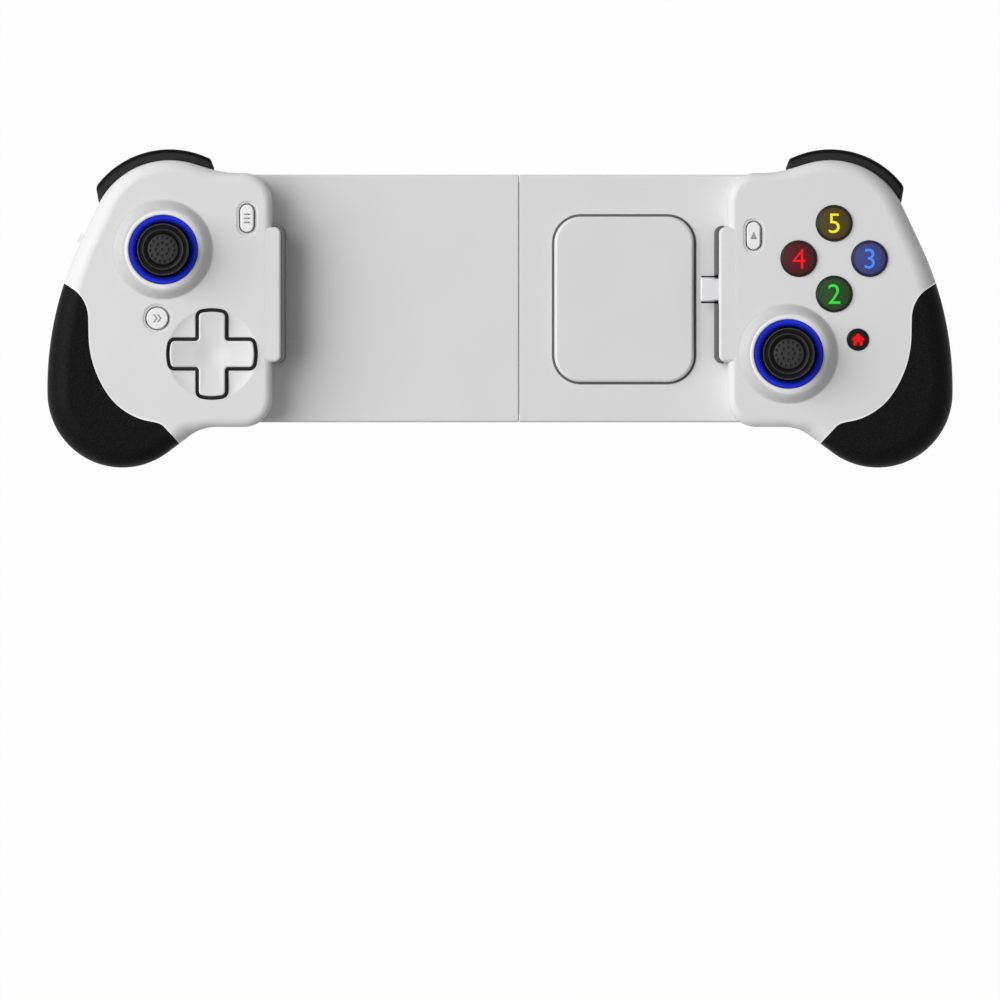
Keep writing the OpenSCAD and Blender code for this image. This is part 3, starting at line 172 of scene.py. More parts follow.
# Stick cap from its outer edge to the groove: distance in from the edge, drop from the top
CAP_RIMS = [
    (0, 1.1), (0.03, 0.5), (0.13, 0.12), (0.25, 0), (0.37, 0.1), (0.45, 0.45), (0.55, 0.8), (0.75, 0.9),
    (1.25, 0.85), (1.45, 0.75), (1.55, 0.4), (1.65, 0.22), (1.77, 0.18), (1.89, 0.24), (1.99, 0.5), (2.1, 1),
    (2.35, 1.25),
]
# Its disc from the groove inwards: distance from the centre, drop from the top
CAP_DISC = [
    (CAP_DISC_R + 0.2, 1.25), (CAP_DISC_R + 0.05, 1.0), (CAP_DISC_R - 0.05, 0.75), (CAP_DISC_R - 0.3, 0.6),
    (CAP_DISC_R * 0.75, 0.42), (CAP_DISC_R * 0.4, 0.3), (0, 0.24),
]
# Painted highlight bands on the rims, with painted shade in the grooves around them: start and end from the
# edge, and the soft run on either side
HIGHLIGHT_BANDS = [(2.0, 1.6, 0.2, 0.2), (0.42, 0.12, 0.18, 0.12)]
BEAD_R, BEAD_IN, BEAD_DROP = 0.17, 1.0, 0.85
# Rings of pits: distance from the centre, count, depth of their middles under the top
PIT_RINGS = [(0, 1, 0.2), (1.95, 8, 0.27), (3.65, 15, 0.43)]
NECK_R = 3.2
DOME_R, DOME_T, DOME_RIM = 8.6, 1.2, 2.6

# Shoulder controls
SHOULDER_CENTRE = Vector((30.72, 20.5786))
BUMPER_Z, BUMPER_TOP = 20.6, 28.4
# Plan of a bumper from the shoulder's centre: inner end, tip, outer arc, far end, inner arc
BUMPER_CORNERS = [
    (19.7, 9.0), (21.1, 9.9), (22.2, 16.17), (8.19, 32.86), (-12.2, 24.5), (-13.5, 21.2), (-11.08, 18.56),
    (7.555, 27.24),
]
BUMPER_RADII = [1.2, 1.2, 2.4, 27.4, 1.2, 1.2, 1.2, 21.5]
BUMPER_STEPS = [3, 5, 8, 40, 6, 4, 3, 30]
# Rolled edges: distance in, distance from the edge
BUMPER_ROLL = [(1.1, 0), (0.7, 0.1), (0.35, 0.4), (0.1, 0.9), (0, 1.5)]
PADDLE_ROLL = [(0.9, 0), (0.5, 0.12), (0.2, 0.4), (0.05, 0.75), (0, 1.1)]
SLOT_ANGLES = (20.2, 128)
SLOT_OUT_R = 31.4
SLOT_IN_R = 19.3
TRIGGER_X = (21.02, 40.42)
TRIGGER_GAP = 0.35
TRIGGER_WINDOW_Y = 33.38
TRIGGER_PIN = Vector((38.58, 17))
TRIGGER_HUB_R, TRIGGER_HUB_W = 2.4, 6
PADDLE_CENTRE = Vector((29.38, 17.8))
PADDLE_R, PADDLE_T = 16, 2.8
PADDLE_ANGLES = (-58, 6)

# Jaws and plug
JAW_DEPTH, JAW_ROOT = 2.8, 3.2
JAW_LOW, JAW_HIGH, JAW_R = -16, 24.5, 1.9
CUSHION_T = 1.3
PLUG_Y, PLUG_Z = 5.8, 25.8
PLUG_SIZE = Vector((8.25, 2.4))
PLUG_REACH, PLUG_TAIL = 4, 2.8
PAD_AT, PAD_SIZE, PAD_R = Vector((37.3, 2.9)), Vector((41.9, 49.7)), 8.0
# Phone pad: top, depth of its groove, edge rounding, and height of the dark ring in the groove that stands in
# for its shade
PAD_TOP, PAD_SINK, PAD_SOFT, PAD_SHADE_RING = 21.6, 1.0, 1.0, 0.7

# Stage, in metres and watts
KEY_PLACE, KEY_SIZE, KEY_POWER = (-2.95, 0.85, 2.9), 4.2, 213
SKY_LIGHT = 0.26
FLOOR_GLOW = 0.985
WHITE = (1, 1, 1, 1)

# Ribbon cable and return spring inside the slide
CABLE_X, CABLE_Y, CABLE_W, CABLE_T = 75.4, -8.85, 8.0, 0.3
CABLE_LOW, CABLE_END_Z = 13.2, 21.4
CABLE_BEND_R, CABLE_FOLD_R = 1.2, 0.6
CABLE_FOLDS = (-33.35, -8.35)
SPRING_AT = Vector((38.4, 17.15))
SPRING_R, SPRING_PITCH, SPRING_TURNS, SPRING_T = 4.7, 0.7, 4.25, 0.2
SPRING_Z, SPRING_TOP = 13.1, 15.9
SPRING_END_X = -69.4


def length_setting(name, description, default):
    """Property that holds a length, with its default in millimetres."""
    return bpy.props.FloatProperty(
        name=name, description=description, default=default * MM, min=0, unit="LENGTH")


def colour_setting(name, description, default):
    """Property that holds a colour."""
    return bpy.props.FloatVectorProperty(
        name=name, description=description, default=default, min=0, max=1, subtype="COLOR")


class GamepadSizes(bpy.types.PropertyGroup):
    """Sizes of the visible detail."""

    edge: length_setting("Edge rounding", "Radius of the moulded edges", 0.18)
    stick_cap_radius: length_setting("Stick cap radius", "Outer radius of the stick caps", 7.75)
    pit_radius: length_setting("Pit radius", "Radius of the pits on the stick caps", 0.55)
    knurls: bpy.props.IntProperty(
        name="Knurls", description="Beads around each stick cap", default=44, min=3, max=80)
    mark_height: length_setting("Mark height", "Height of the numerals on the face buttons", 8.6)
    pad_groove: length_setting("Pad groove", "Gap around the phone pad", 0.7)
    grip_grain: length_setting("Grip grain", "Spacing of the texture on the grips", 0.55)
    floor_size: length_setting("Floor size", "Edge length of the floor", 8000)


class GamepadColours(bpy.types.PropertyGroup):
    """Colours of the finishes."""

    shell: colour_setting("Shell", "White shells", (0.74, 0.74, 0.745))
    # This colour is the small buttons' own white, and painted highlight on the stick crests and grip lips.
    trim_and_highlight: colour_setting("Trim", "Small buttons and stick bezels", (0.88, 0.88, 0.88))
    plate: colour_setting("Plate", "Bridge plates and pad", (0.72, 0.72, 0.725))
    grip: colour_setting("Grip", "Rubbery grip ends", (0.0055, 0.0055, 0.0056))
    cushion: colour_setting("Cushion", "Jaw cushions", (0.115, 0.115, 0.117))
    bumper: colour_setting("Bumper", "Bumpers and triggers", (0.026, 0.026, 0.0265))
    stick: colour_setting("Stick", "Stick rubber", (0.007, 0.007, 0.0073))
    ring: colour_setting("Ring light", "Lit rings around the sticks", (0.014, 0.025, 0.56))
    yellow: colour_setting("Yellow mark", "Lit mark of the top button", (0.80, 0.74, 0.02))
    blue: colour_setting("Blue mark", "Lit mark of the outer button", (0.05, 0.25, 0.85))
    green: colour_setting("Green mark", "Lit mark of the bottom button", (0.04, 0.65, 0.06))
    red: colour_setting("Red mark", "Lit marks of the inner and home buttons", (0.80, 0.008, 0.012))
    yellow_tint: colour_setting("Yellow button", "Smoked body of the top button", (0.085, 0.058, 0.009))
    blue_tint: colour_setting("Blue button", "Smoked body of the outer button", (0.058, 0.068, 0.27))
    green_tint: colour_setting("Green button", "Smoked body of the bottom button", (0.020, 0.075, 0.013))
    red_tint: colour_setting("Red button", "Smoked body of the inner button", (0.100, 0.005, 0.008))
    gloss: colour_setting("Home button", "Polished body of the home button", (0.003, 0.002, 0.002))
    print_grey: colour_setting("Print", "Printed marks on the small buttons", (0.30, 0.30, 0.30))
    tray: colour_setting("Tray", "Slide tray and the strip in the seam", (0.26, 0.26, 0.265))
    inner: colour_setting("Inner plastic", "Inner pieces of the controls", (0.02, 0.02, 0.021))
    contact: colour_setting("Contact rubber", "Contact sheets under the buttons", (0.28, 0.28, 0.29))
    film: colour_setting("Cable film", "Ribbon cable", (0.03, 0.018, 0.008))
    steel: colour_setting("Steel", "Plug, screws and springs", (0.62, 0.62, 0.63))
    board: colour_setting("Board", "Circuit boards", (0.015, 0.10, 0.045))
    floor: colour_setting("Floor", "Floor and backdrop", (0.45, 0.45, 0.45))


def smooth_step(t):
    """Eases from 0 to 1."""
    c = min(max(t, 0), 1)
    return c * c * (3 - 2 * c)


def blend(a, b, t):
    """Value between a and b."""
    return a + (b - a) * t


def polar(radius, angle):
    """Point at a distance and an angle from the origin."""
    return radius * Vector((math.cos(angle), math.sin(angle)))


def around(centre, radius, count, first=0):
    """Points spaced evenly on a circle."""
    return [centre + polar(radius, first + 2 * math.pi * i / count) for i in range(count)]


def four_ways(points):
    """Points of one arm, repeated at every quarter turn."""
    turns = [Matrix.Rotation(i * math.pi / 2, 2) for i in range(4)]
    return [turn @ Vector(p) for turn in turns for p in points]


def roll(soft, steps=5):
    """Quarter round: steps of (distance in, distance under the top), from the flank to the top."""
    angles = [i * math.pi / 2 / steps for i in range(steps + 1)]
    return [(soft * (1 - math.cos(a)), soft * (1 - math.sin(a))) for a in angles]


def fillet(before, corner, after, radius):
    """Arc that rounds a corner: centre, first angle, turn, radius, side."""
    into = (corner - before).normalized()
    away = (after - corner).normalized()
    turn = math.atan2(into.x * away.y - into.y * away.x, into.dot(away))
    side = 1 if turn > 0 else -1
    normal = Vector((-into.y, into.x)) * side
    centre = corner - into * radius * math.tan(abs(turn) / 2) + normal * radius
    return centre, math.atan2(-normal.y, -normal.x), turn, radius, side


def arc_point(arc, t, inset):
    """Point at place t of an arc that is moved inward by inset."""
    centre, first, turn, radius, side = arc
    return centre + polar(radius - side * inset, first + turn * t)


def outline(corners, radii, steps):
    """Stations around a rounded polygon, each (corner number, place on its arc, arc)."""
    points = [Vector(c) for c in corners]
    count = len(points)
    arcs = [fillet(points[k - 1], points[k], points[(k + 1) % count], radii[k]) for k in range(count)]
    return [(k, i / max(steps[k], 1), arcs[k]) for k in range(count) for i in range(steps[k] + 1)]


def at_height(stations, inset, z):
    """Closed ring of points: an outline moved inward by inset, at height z."""
    return [(*arc_point(arc, t, inset), z) for _, t, arc in stations]


def rounded_box(size, radius, steps=8):
    """Outline of a rectangle with rounded corners, centred on the origin."""
    x, y = size[0] / 2, size[1] / 2
    return outline([(-x, -y), (x, -y), (x, y), (-x, y)], [radius] * 4, [steps] * 4)


def skin(rings):
    """New bmesh: a grid wrapped through closed rings of points, both ends filled."""
    bm = bmesh.new()
    columns = len(rings[0])
    grid = bmesh.ops.create_grid(bm, x_segments=columns, y_segments=len(rings) - 1, size=1)
    for number, vert in enumerate(grid["verts"]):
        row, column = divmod(number, columns + 1)
        vert.co = rings[row][column % columns]
    bmesh.ops.remove_doubles(bm, verts=bm.verts, dist=TINY)
    bmesh.ops.holes_fill(bm, edges=[e for e in bm.edges if e.is_boundary], sides=0)
    bmesh.ops.recalc_face_normals(bm, faces=bm.faces)
    return bm


def lathe(profile, at=(0, 0), angles=FULL_TURN, steps=LATHE_STEPS, closed=False):
    """New bmesh: a (radius, height) profile spun about a vertical axis. A closed profile makes a ring."""
    bm = bmesh.new()
    verts = [bm.verts.new((r, 0, z)) for r, z in profile]
    loop = verts + verts[:1] if closed else verts
    edges = [bm.edges.new(pair) for pair in zip(loop, loop[1:])]
    full = angles == FULL_TURN
    first, last = (math.radians(a) for a in angles)
    bmesh.ops.rotate(bm, verts=verts, cent=(0, 0, 0), matrix=Matrix.Rotation(first, 3, "Z"))
    bmesh.ops.spin(
        bm, geom=verts + edges, cent=(0, 0, 0), axis=(0, 0, 1), angle=last - first, steps=steps,
        use_merge=full)
    bmesh.ops.remove_doubles(bm, verts=bm.verts, dist=TINY)
    if not full:
        bmesh.ops.holes_fill(bm, edges=[e for e in bm.edges if e.is_boundary], sides=0)
    bmesh.ops.recalc_face_normals(bm, faces=bm.faces)
    bmesh.ops.translate(bm, verts=bm.verts, vec=(*at, 0))
    return bm


def cylinder(radius, low, high, at, steps=LATHE_STEPS):
    """New bmesh: an upright cylinder."""
    return lathe([(0, low), (radius, low), (radius, high), (0, high)], at, steps=steps)


def tube(inner, outer, low, high, at, angles=FULL_TURN, steps=FINE_STEPS):
    """New bmesh: an upright tube, or a part of its turn."""
    return lathe([(inner, low), (outer, low), (outer, high), (inner, high)], at, angles, steps, closed=True)


def block(low, high):
    """New bmesh: a box between two corners."""
    bm = bmesh.new()
    bmesh.ops.create_cube(bm, size=1)
    size = Vector(high) - Vector(low)
    bmesh.ops.scale(bm, verts=bm.verts, vec=size)
    bmesh.ops.translate(bm, verts=bm.verts, vec=Vector(low) + size / 2)
    return bm


def put_together(*parts):
    """Several bmeshes as one."""
    bm = bmesh.new()
    for part in parts:
        mesh = bpy.data.meshes.new("part")
        part.to_mesh(mesh)
        part.free()
        bm.from_mesh(mesh)
        bpy.data.meshes.remove(mesh)
    return bm


def turned(bm, matrix):
    """A bmesh after a turn or move."""
    bmesh.ops.transform(bm, verts=bm.verts, matrix=matrix)
    return bm


def shape(bm, name):
    """Object made of a bmesh."""
    mesh = bpy.data.meshes.new(name)
    bm.to_mesh(mesh)
    bm.free()
    piece = bpy.data.objects.new(name, mesh)
    bpy.context.scene.collection.objects.link(piece)
    return piece


def settle(piece):
    """Applies a piece's modifiers."""
    graph = bpy.context.evaluated_depsgraph_get()
    mesh = bpy.data.meshes.new_from_object(piece.evaluated_get(graph))
    old = piece.data
    piece.modifiers.clear()
    piece.data = mesh
    bpy.data.meshes.remove(old)


def combine(piece, tool_mesh, operation):
    """Joins a tool to a piece, cuts it away or keeps what both share."""
    tool = shape(tool_mesh, "tool")
    modifier = piece.modifiers.new(operation.title(), "BOOLEAN")
    modifier.operation = operation
    modifier.solver = "EXACT"
    modifier.object = tool
    settle(piece)
    bpy.data.objects.remove(tool)
    bm = bmesh.new()
    bm.from_mesh(piece.data)
    bmesh.ops.remove_doubles(bm, verts=bm.verts, dist=MERGE)
    bmesh.ops.dissolve_degenerate(bm, edges=bm.edges, dist=MERGE)
    bm.to_mesh(piece.data)
    bm.free()


def attach(piece, *parts):
    """Adds loose parts to a piece."""
    bm = bmesh.new()
    bm.from_mesh(piece.data)
    whole = put_together(bm, *parts)
    whole.to_mesh(piece.data)
    whole.free()


def soften(piece):
    """Rounds the edges of a piece."""
    rounding = piece.modifiers.new("Edge rounding", "BEVEL")
    rounding.width = sizes().edge / MM
    rounding.segments = 3
    rounding.limit_method = "ANGLE"
    rounding.angle_limit = math.radians(SHARP)
    rounding.use_clamp_overlap = False
    settle(piece)


def finish(piece, material, body, nodes=(), side="right", sharp=SHARP):
    """Scales a piece to metres, shades it, parents it to its body and hides the nodes it stands for.

    A piece that runs out with the slide is given two bodies and two places between them instead of one body;
    these are not used, and the piece is left unparented.
    """
    bm = bmesh.new()
    bm.from_mesh(piece.data)
    mirror = -1 if side == "left" else 1
    bmesh.ops.scale(bm, verts=bm.verts, vec=(mirror * MM, MM, MM))
    if side == "left":
        bmesh.ops.reverse_faces(bm, faces=bm.faces)
    for face in bm.faces:
        face.smooth = True
    bm.to_mesh(piece.data)
    bm.free()
    piece.data.set_sharp_from_angle(angle=math.radians(sharp))
    piece.data.materials.clear()
    piece.data.materials.append(material)
    weigh = piece.modifiers.new("Even shading", "WEIGHTED_NORMAL")
    weigh.keep_sharp = True
    if isinstance(body, str):
        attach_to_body(piece, body)
    else:
        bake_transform(piece)
    if nodes:
        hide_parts(*nodes)
    return piece


def sizes():
    """The scene's sizes."""
    return bpy.context.scene.gamepad_sizes


def colours():
    """The scene's colours."""
    return bpy.context.scene.gamepad_colours


def body_of_side(side):
    """Name of the body of one half."""
    return f"{side}_half"


def handle_point(place):
    """A point in handle coordinates as a place in the right-hand CAD frame."""
    return Vector((INNER_X + place[0], place[1]))


def seen_place(place, side, z):
    """A point in handle coordinates and its height as a place in the CAD frame of its own side."""
    x, y = handle_point(place)
    return (-x if side == "left" else x, y, z)


def add_node(tree, kind, sockets=None, **settings):
    """New shader node. A socket, by its name or number, takes a value or another node's output."""
    node = tree.nodes.new(f"ShaderNode{kind}")
    for name, value in settings.items():
        setattr(node, name, value)
    for socket, value in (sockets or {}).items():
        if isinstance(value, bpy.types.NodeSocket):
            tree.links.new(value, node.inputs[socket])
        else:
            node.inputs[socket].default_value = value
    return node


def scaled(colour, share):
    """A colour made darker or lighter."""
    return [share * c for c in colour]


class Finish:
    """A node material with a principled surface whose colour, roughness and bump come from textures."""

    def __init__(self, name):
        self.material = bpy.data.materials.new(name)
        self.material.use_nodes = True
        self.tree = self.material.node_tree
        self.surface = self.tree.nodes["Principled BSDF"]
        self.place = add_node(self.tree, "TexCoord").outputs["Object"]

    def set(self, **values):
        """Sets sockets of the surface: underscores stand for spaces."""
        for name, value in values.items():
            self.surface.inputs[name.replace("_", " ").title().replace("Ior", "IOR")].default_value = value

    def feed(self, source, socket):
        """Links a value to a socket of the surface."""
        self.tree.links.new(source, self.surface.inputs[socket])

    def noise(self, spacing, detail=2):
        """Noise texture whose features are about one spacing apart, in metres."""
        sockets = {"Vector": self.place, "Scale": 1 / spacing, "Detail": detail}
        return add_node(self.tree, "TexNoise", sockets).outputs["Fac"]

    def cells(self, spacing):
        """Distance inside cells of about one spacing, in metres."""
        sockets = {"Vector": self.place, "Scale": 1 / spacing}
        return add_node(self.tree, "TexVoronoi", sockets).outputs["Distance"]

    def ramp(self, source, stops):
        """Colours the surface by a value, through stops of (place, colour)."""
        ramp = add_node(self.tree, "ValToRGB", {"Fac": source})
        elements = ramp.color_ramp.elements
        while len(elements) < len(stops):
            elements.new(1.0)
        for element, (place, colour) in zip(elements, stops):
            element.position = place
            element.color = (*colour, 1)
        self.feed(ramp.outputs["Color"], "Base Color")
        return ramp.outputs["Color"]

    def mottle(self, source, colour, spread):
        """Colours the surface by a texture, from a little darker to a little lighter."""
        low, high = 0.25, 0.75
        lighter = [min(c, 1) for c in scaled(colour, 1 + spread)]
        return self.ramp(source, [(low, scaled(colour, 1 - spread)), (high, lighter)])

    def fade(self, centre, stops):
        """Colours the surface by the distance from a point, through stops of (millimetres, colour)."""
        reach = stops[-1][0]
        spot = [c * MM for c in centre]
        distance = add_node(self.tree, "VectorMath", {0: self.place, 1: spot}, operation="DISTANCE")
        share = add_node(self.tree, "MapRange", {"Value": distance.outputs["Value"], "From Max": reach * MM})
        return self.ramp(share.outputs["Result"], [(d / reach, colour) for d, colour in stops])

    def times(self, first, second):
        """Colours the surface by the product of two colours."""
        product = add_node(self.tree, "VectorMath", {0: first, 1: second}, operation="MULTIPLY")
        self.feed(product.outputs["Vector"], "Base Color")

    def roughen(self, source, low, high):
        """Roughness between two values, by a texture."""
        span = add_node(self.tree, "MapRange", {"Value": source, "To Min": low, "To Max": high})
        self.feed(span.outputs["Result"], "Roughness")

    def bump(self, source, strength, height):
        """Bump from a texture over any bump before it, height in millimetres."""
        sockets = {"Height": source, "Strength": strength, "Distance": height * MM}
        before = self.surface.inputs["Normal"].links
        if before:
            sockets["Normal"] = before[0].from_socket
        self.feed(add_node(self.tree, "Bump", sockets).outputs["Normal"], "Normal")


def moulded(name, colour, grain, rough, spread, strength, shine=0.5):
    """Moulded plastic with a fine grain, its spacing in millimetres."""
    tone_spacing, patch_spacing, patch_spread, grain_height = 22, 6, 0.05, 0.03
    plastic = Finish(name)
    plastic.mottle(plastic.noise(tone_spacing * MM, detail=3), colour, spread)
    plastic.roughen(plastic.noise(patch_spacing * MM, detail=4), rough - patch_spread, rough + patch_spread)
    plastic.bump(plastic.noise(grain * MM), strength, grain_height)
    plastic.set(specular_ior_level=shine)
    return plastic


def satin_white(name):
    """Satin white plastic of the shells."""
    return moulded(name, colours().shell, grain=0.22, rough=0.46, spread=0.012, strength=0.18, shine=0.4)


@functools.cache
def shell_white():
    """Plain satin white."""
    return satin_white("shell_white").material


def front_white(side):
    """Satin white of a front shell, with painted shade greying the flank of its stick boss."""
    white = satin_white(f"{side}_front_white")
    plain = white.surface.inputs["Base Color"].links[0].from_socket
    full, grey = (1, 1, 1), (0.77, 0.77, 0.77)
    # Painted shade: the flank of the boss is greyed to 0.77 of the shell's white.
    shade = white.fade(seen_place(STICK_AT[side], side, FACE_Z + BOSS_RISE / 2), [
        (0, full), (BOSS_BORE_R + 1.35, full), (BOSS_BORE_R + 1.8, grey), (BOSS_R - 0.3, grey),
        (BOSS_R + 0.4, full),
    ])
    white.times(plain, shade)
    return white.material


@functools.cache
def bright_white_and_highlight():
    """Whiter plastic of the small buttons; the same brighter white is painted highlight on the stick crests
    and on the lip along the grips.
    """
    return moulded(
        "bright_white_and_highlight", colours().trim_and_highlight, grain=0.3, rough=0.35, spread=0.01, strength=0.1, shine=0.4).material


@functools.cache
def plate_white():
    """Smoother white of the bridge plates."""
    return moulded(
        "plate_white", colours().plate, grain=0.3, rough=0.42, spread=0.012, strength=0.15,
        shine=0.4).material


@functools.cache
def grip_black():
    """Rubbery black with a pebbled grain."""
    tone = colours().grip
    black = moulded("grip_black", tone, grain=0.2, rough=0.5, spread=0.1, strength=0.2, shine=0.06)
    dots = black.cells(sizes().grip_grain)
    black.bump(dots, strength=0.4, height=0.06)
    black.ramp(dots, [(0.15, scaled(tone, 1.7)), (0.55, scaled(tone, 0.5))])
    return black.material


@functools.cache
def cushion_rubber():
    """Matt grey rubber with fine ribs."""
    rib_scale = 150
    rubber = moulded("cushion_rubber", colours().cushion, grain=0.25, rough=0.8, spread=0.06, strength=0.3)
    ribs = add_node(rubber.tree, "TexWave", {"Vector": rubber.place, "Scale": rib_scale}, bands_direction="Y")
    rubber.bump(ribs.outputs["Fac"], strength=0.4, height=0.12)
    return rubber.material


def satin_black(name, shine):
    """Satin dark plastic of the shoulder controls."""
    return moulded(name, colours().bumper, grain=0.2, rough=0.42, spread=0.06, strength=0.2, shine=shine)


@functools.cache
def trigger_black():
    """Dark plastic of the triggers."""
    return satin_black("trigger_black", shine=0.2).material


def bumper_black(side):
    """Dark plastic of a bumper, with painted shade blackening its outer edge."""
    band_end, painted_shade_start = 25.9, 26.5
    tone = colours().bumper
    dark = satin_black(f"{side}_bumper_black", shine=0.06)
    # Painted shade: the colour turns black from this distance out, along the bumper's outer edge.
    dark.fade(seen_place(SHOULDER_CENTRE, side, BUMPER_TOP),
              [(0, tone), (band_end, tone), (painted_shade_start, scaled(tone, 0.05))])
    return dark.material


def matt_rubber(name):
    """Matt rubber of the sticks."""
    return moulded(name, colours().stick, grain=0.15, rough=0.42, spread=0.1, strength=0.25, shine=0.12)


@functools.cache
def stick_black():
    """Plain rubber of the stick domes."""
    return matt_rubber("stick_black").material


def cap_rubber(side):
    """Rubber of a stick cap: painted highlight greys the disc and the two rims, and painted shade blackens
    the grooves between them.
    """
    rubber = matt_rubber(f"{side}_cap_rubber")
    # Painted highlight (5.5 times the rubber) on the disc and rims, painted shade (a quarter of it) in the
    # grooves.
    painted_highlight, black = scaled(colours().stick, 5.5), scaled(colours().stick, 0.25)
    edge = sizes().stick_cap_radius / MM
    stops = [(0, painted_highlight), (CAP_DISC_R - 0.6, painted_highlight), (CAP_DISC_R - 0.1, black)]
    for start, end, soft_in, soft_out in HIGHLIGHT_BANDS:
        stops += [(edge - start - soft_in, black), (edge - start, painted_highlight)]
        stops += [(edge - end, painted_highlight), (edge - end + soft_out, black)]
    rubber.fade(seen_place(STICK_AT[side], side, PIVOT_Z + CAP_RISE + CAP_HEIGHT), stops)
    return rubber.material


@functools.cache
def inner_black():
    """Plain black plastic of the inner pieces."""
    return moulded("inner_black", colours().inner, grain=0.3, rough=0.45, spread=0.08, strength=0.2).material


@functools.cache
def gloss_black():
    """Polished black of the home button with a red glow around its mark."""
    dark, glow = colours().gloss, scaled(colours().red, 0.3)
    black = moulded("gloss_black", dark, grain=0.6, rough=0.2, spread=0.05, strength=0.02, shine=0.15)
    black.fade(seen_place(HOME_AT, "right", FACE_Z),
               [(0, glow), (0.4 * ROUND_BUTTON_R, glow), (0.72 * ROUND_BUTTON_R, dark)])
    return black.material


def drawn(name):
    """Metal with fine lines along its length."""
    line_scale, line_stretch, tone_spacing = 300, (1, 14, 14), 4
    metal = Finish(name)
    metal.set(metallic=1)
    metal.mottle(metal.noise(tone_spacing * MM, detail=3), colours().steel, spread=0.05)
    stretch = add_node(metal.tree, "Mapping", {"Vector": metal.place, "Scale": line_stretch})
    lines = add_node(metal.tree, "TexNoise", {"Vector": stretch.outputs["Vector"], "Scale": line_scale})
    metal.roughen(lines.outputs["Fac"], low=0.26, high=0.34)
    metal.bump(lines.outputs["Fac"], strength=0.03, height=0.01)
    return metal


@functools.cache
def steel():
    """Plain drawn steel."""
    return drawn("steel").material


@functools.cache
def plug_steel():
    """Drawn shell of the plug, with painted shade and reflection darkening it where its sides turn down."""
    metal = drawn("plug_steel")
    half = PLUG_SIZE.x / 2
    place = add_node(metal.tree, "SeparateXYZ", {"Vector": metal.place})
    across = add_node(metal.tree, "MapRange", {
        "Value": place.outputs["Y"], "From Min": (PLUG_Y - half) * MM, "From Max": (PLUG_Y + half) * MM})
    light, dark = colours().steel, (0.01, 0.01, 0.01)
    # Painted shade and reflection: dark bands across the plug where its sides turn down.
    metal.ramp(across.outputs["Result"], [(0.05, dark), (0.1, light), (0.92, light), (0.96, dark)])
    return metal.material


@functools.cache
def board_green():
    """Lacquered board with traces under the lacquer."""
    trace_scale, trace_width = 180, 0.06
    board = Finish("board_green")
    tone = colours().board
    traces = add_node(board.tree, "TexBrick", {
        "Vector": board.place, "Scale": trace_scale, "Mortar Size": trace_width, "Color1": (*tone, 1),
        "Color2": (*scaled(tone, 1.15), 1), "Mortar": (*scaled(tone, 1.9), 1)})
    board.feed(traces.outputs["Color"], "Base Color")
    board.bump(traces.outputs["Fac"], strength=0.2, height=0.03)
    board.set(roughness=0.3, coat_weight=0.4, coat_roughness=0.2)
    return board.material


@functools.cache
def contact_rubber():
    """Grey silicone of the contact sheets."""
    return moulded(
        "contact_rubber", colours().contact, grain=0.4, rough=0.6, spread=0.04, strength=0.2).material


@functools.cache
def cable_film():
    """Dark film of the ribbon cable."""
    return moulded("cable_film", colours().film, grain=0.5, rough=0.3, spread=0.1, strength=0.1).material


def ring_light(side):
    """Clear ring lit from behind, brightest near its outer edge, with painted shade darkening its inner edge
    under the cap and its outer rim.
    """
    tone = colours().ring
    glow = moulded(f"{side}_ring_light", tone, grain=0.5, rough=0.28, spread=0.08, strength=0.05, shine=0.15)
    dark, deep, bright = (0.001, 0.001, 0.006), scaled(tone, 0.45), scaled(tone, 1.3)
    # Painted shade: black towards the stick, where the cap shades the ring, and darker at the outer rim.
    shine = glow.fade(seen_place(STICK_AT[side], side, FACE_Z + BOSS_RISE), [
        (0, dark), (RING_IN_R + 0.15, dark), (RING_IN_R + 0.75, deep), (RING_IN_R + 1.6, bright),
        (RING_OUT_R - 0.3, tone), (RING_OUT_R, deep),
    ])
    glow.feed(shine, "Emission Color")
    glow.set(emission_strength=0.2)
    return glow.material


@functools.cache
def tray_grey():
    """Grey plastic of the slide tray."""
    return moulded("tray_grey", colours().tray, grain=0.3, rough=0.4, spread=0.03, strength=0.15).material


@functools.cache
def print_grey():
    """Grey print."""
    return moulded(
        "print_grey", colours().print_grey, grain=0.2, rough=0.6, spread=0.05, strength=0.1).material


def smoked(name, tint, centre):
    """Smoked clear plastic: an even tint, with painted shade darkening the rolled rim."""
    button = moulded(name, tint, grain=0.5, rough=0.3, spread=0.1, strength=0.03, shine=0.2)
    # Painted shade: the tint darkens to an eighth over the rolled rim of the button.
    button.fade((*centre, crown_height(0)), [
        (0, tint), (0.82 * FACE_BUTTON_R, scaled(tint, 0.8)), (0.92 * FACE_BUTTON_R, scaled(tint, 0.12)),
    ])
    return button.material


def lit_mark(name, colour):
    """Mark that glows in one colour."""
    mark = moulded(name, colour, grain=0.4, rough=0.4, spread=0.05, strength=0.03, shine=0.1)
    mark.set(emission_color=(*colour, 1), emission_strength=0.25)
    return mark.material


def handle_stations():
    """Stations around the whole handle, in the right-hand CAD frame."""
    corners = [(INNER_X + x, y) for x, y in HANDLE_CORNERS]
    return outline(corners, HANDLE_RADII, HANDLE_STEPS)


def by_corner(values, station):
    """A value given at the corners, blended along the outline."""
    k, t, _ = station
    here = values[k]
    before = values[k - 1]
    after = values[(k + 1) % len(values)]
    if t < 0.5:
        return blend((before + here) / 2, here, 2 * t)
    return blend(here, (here + after) / 2, 2 * t - 1)


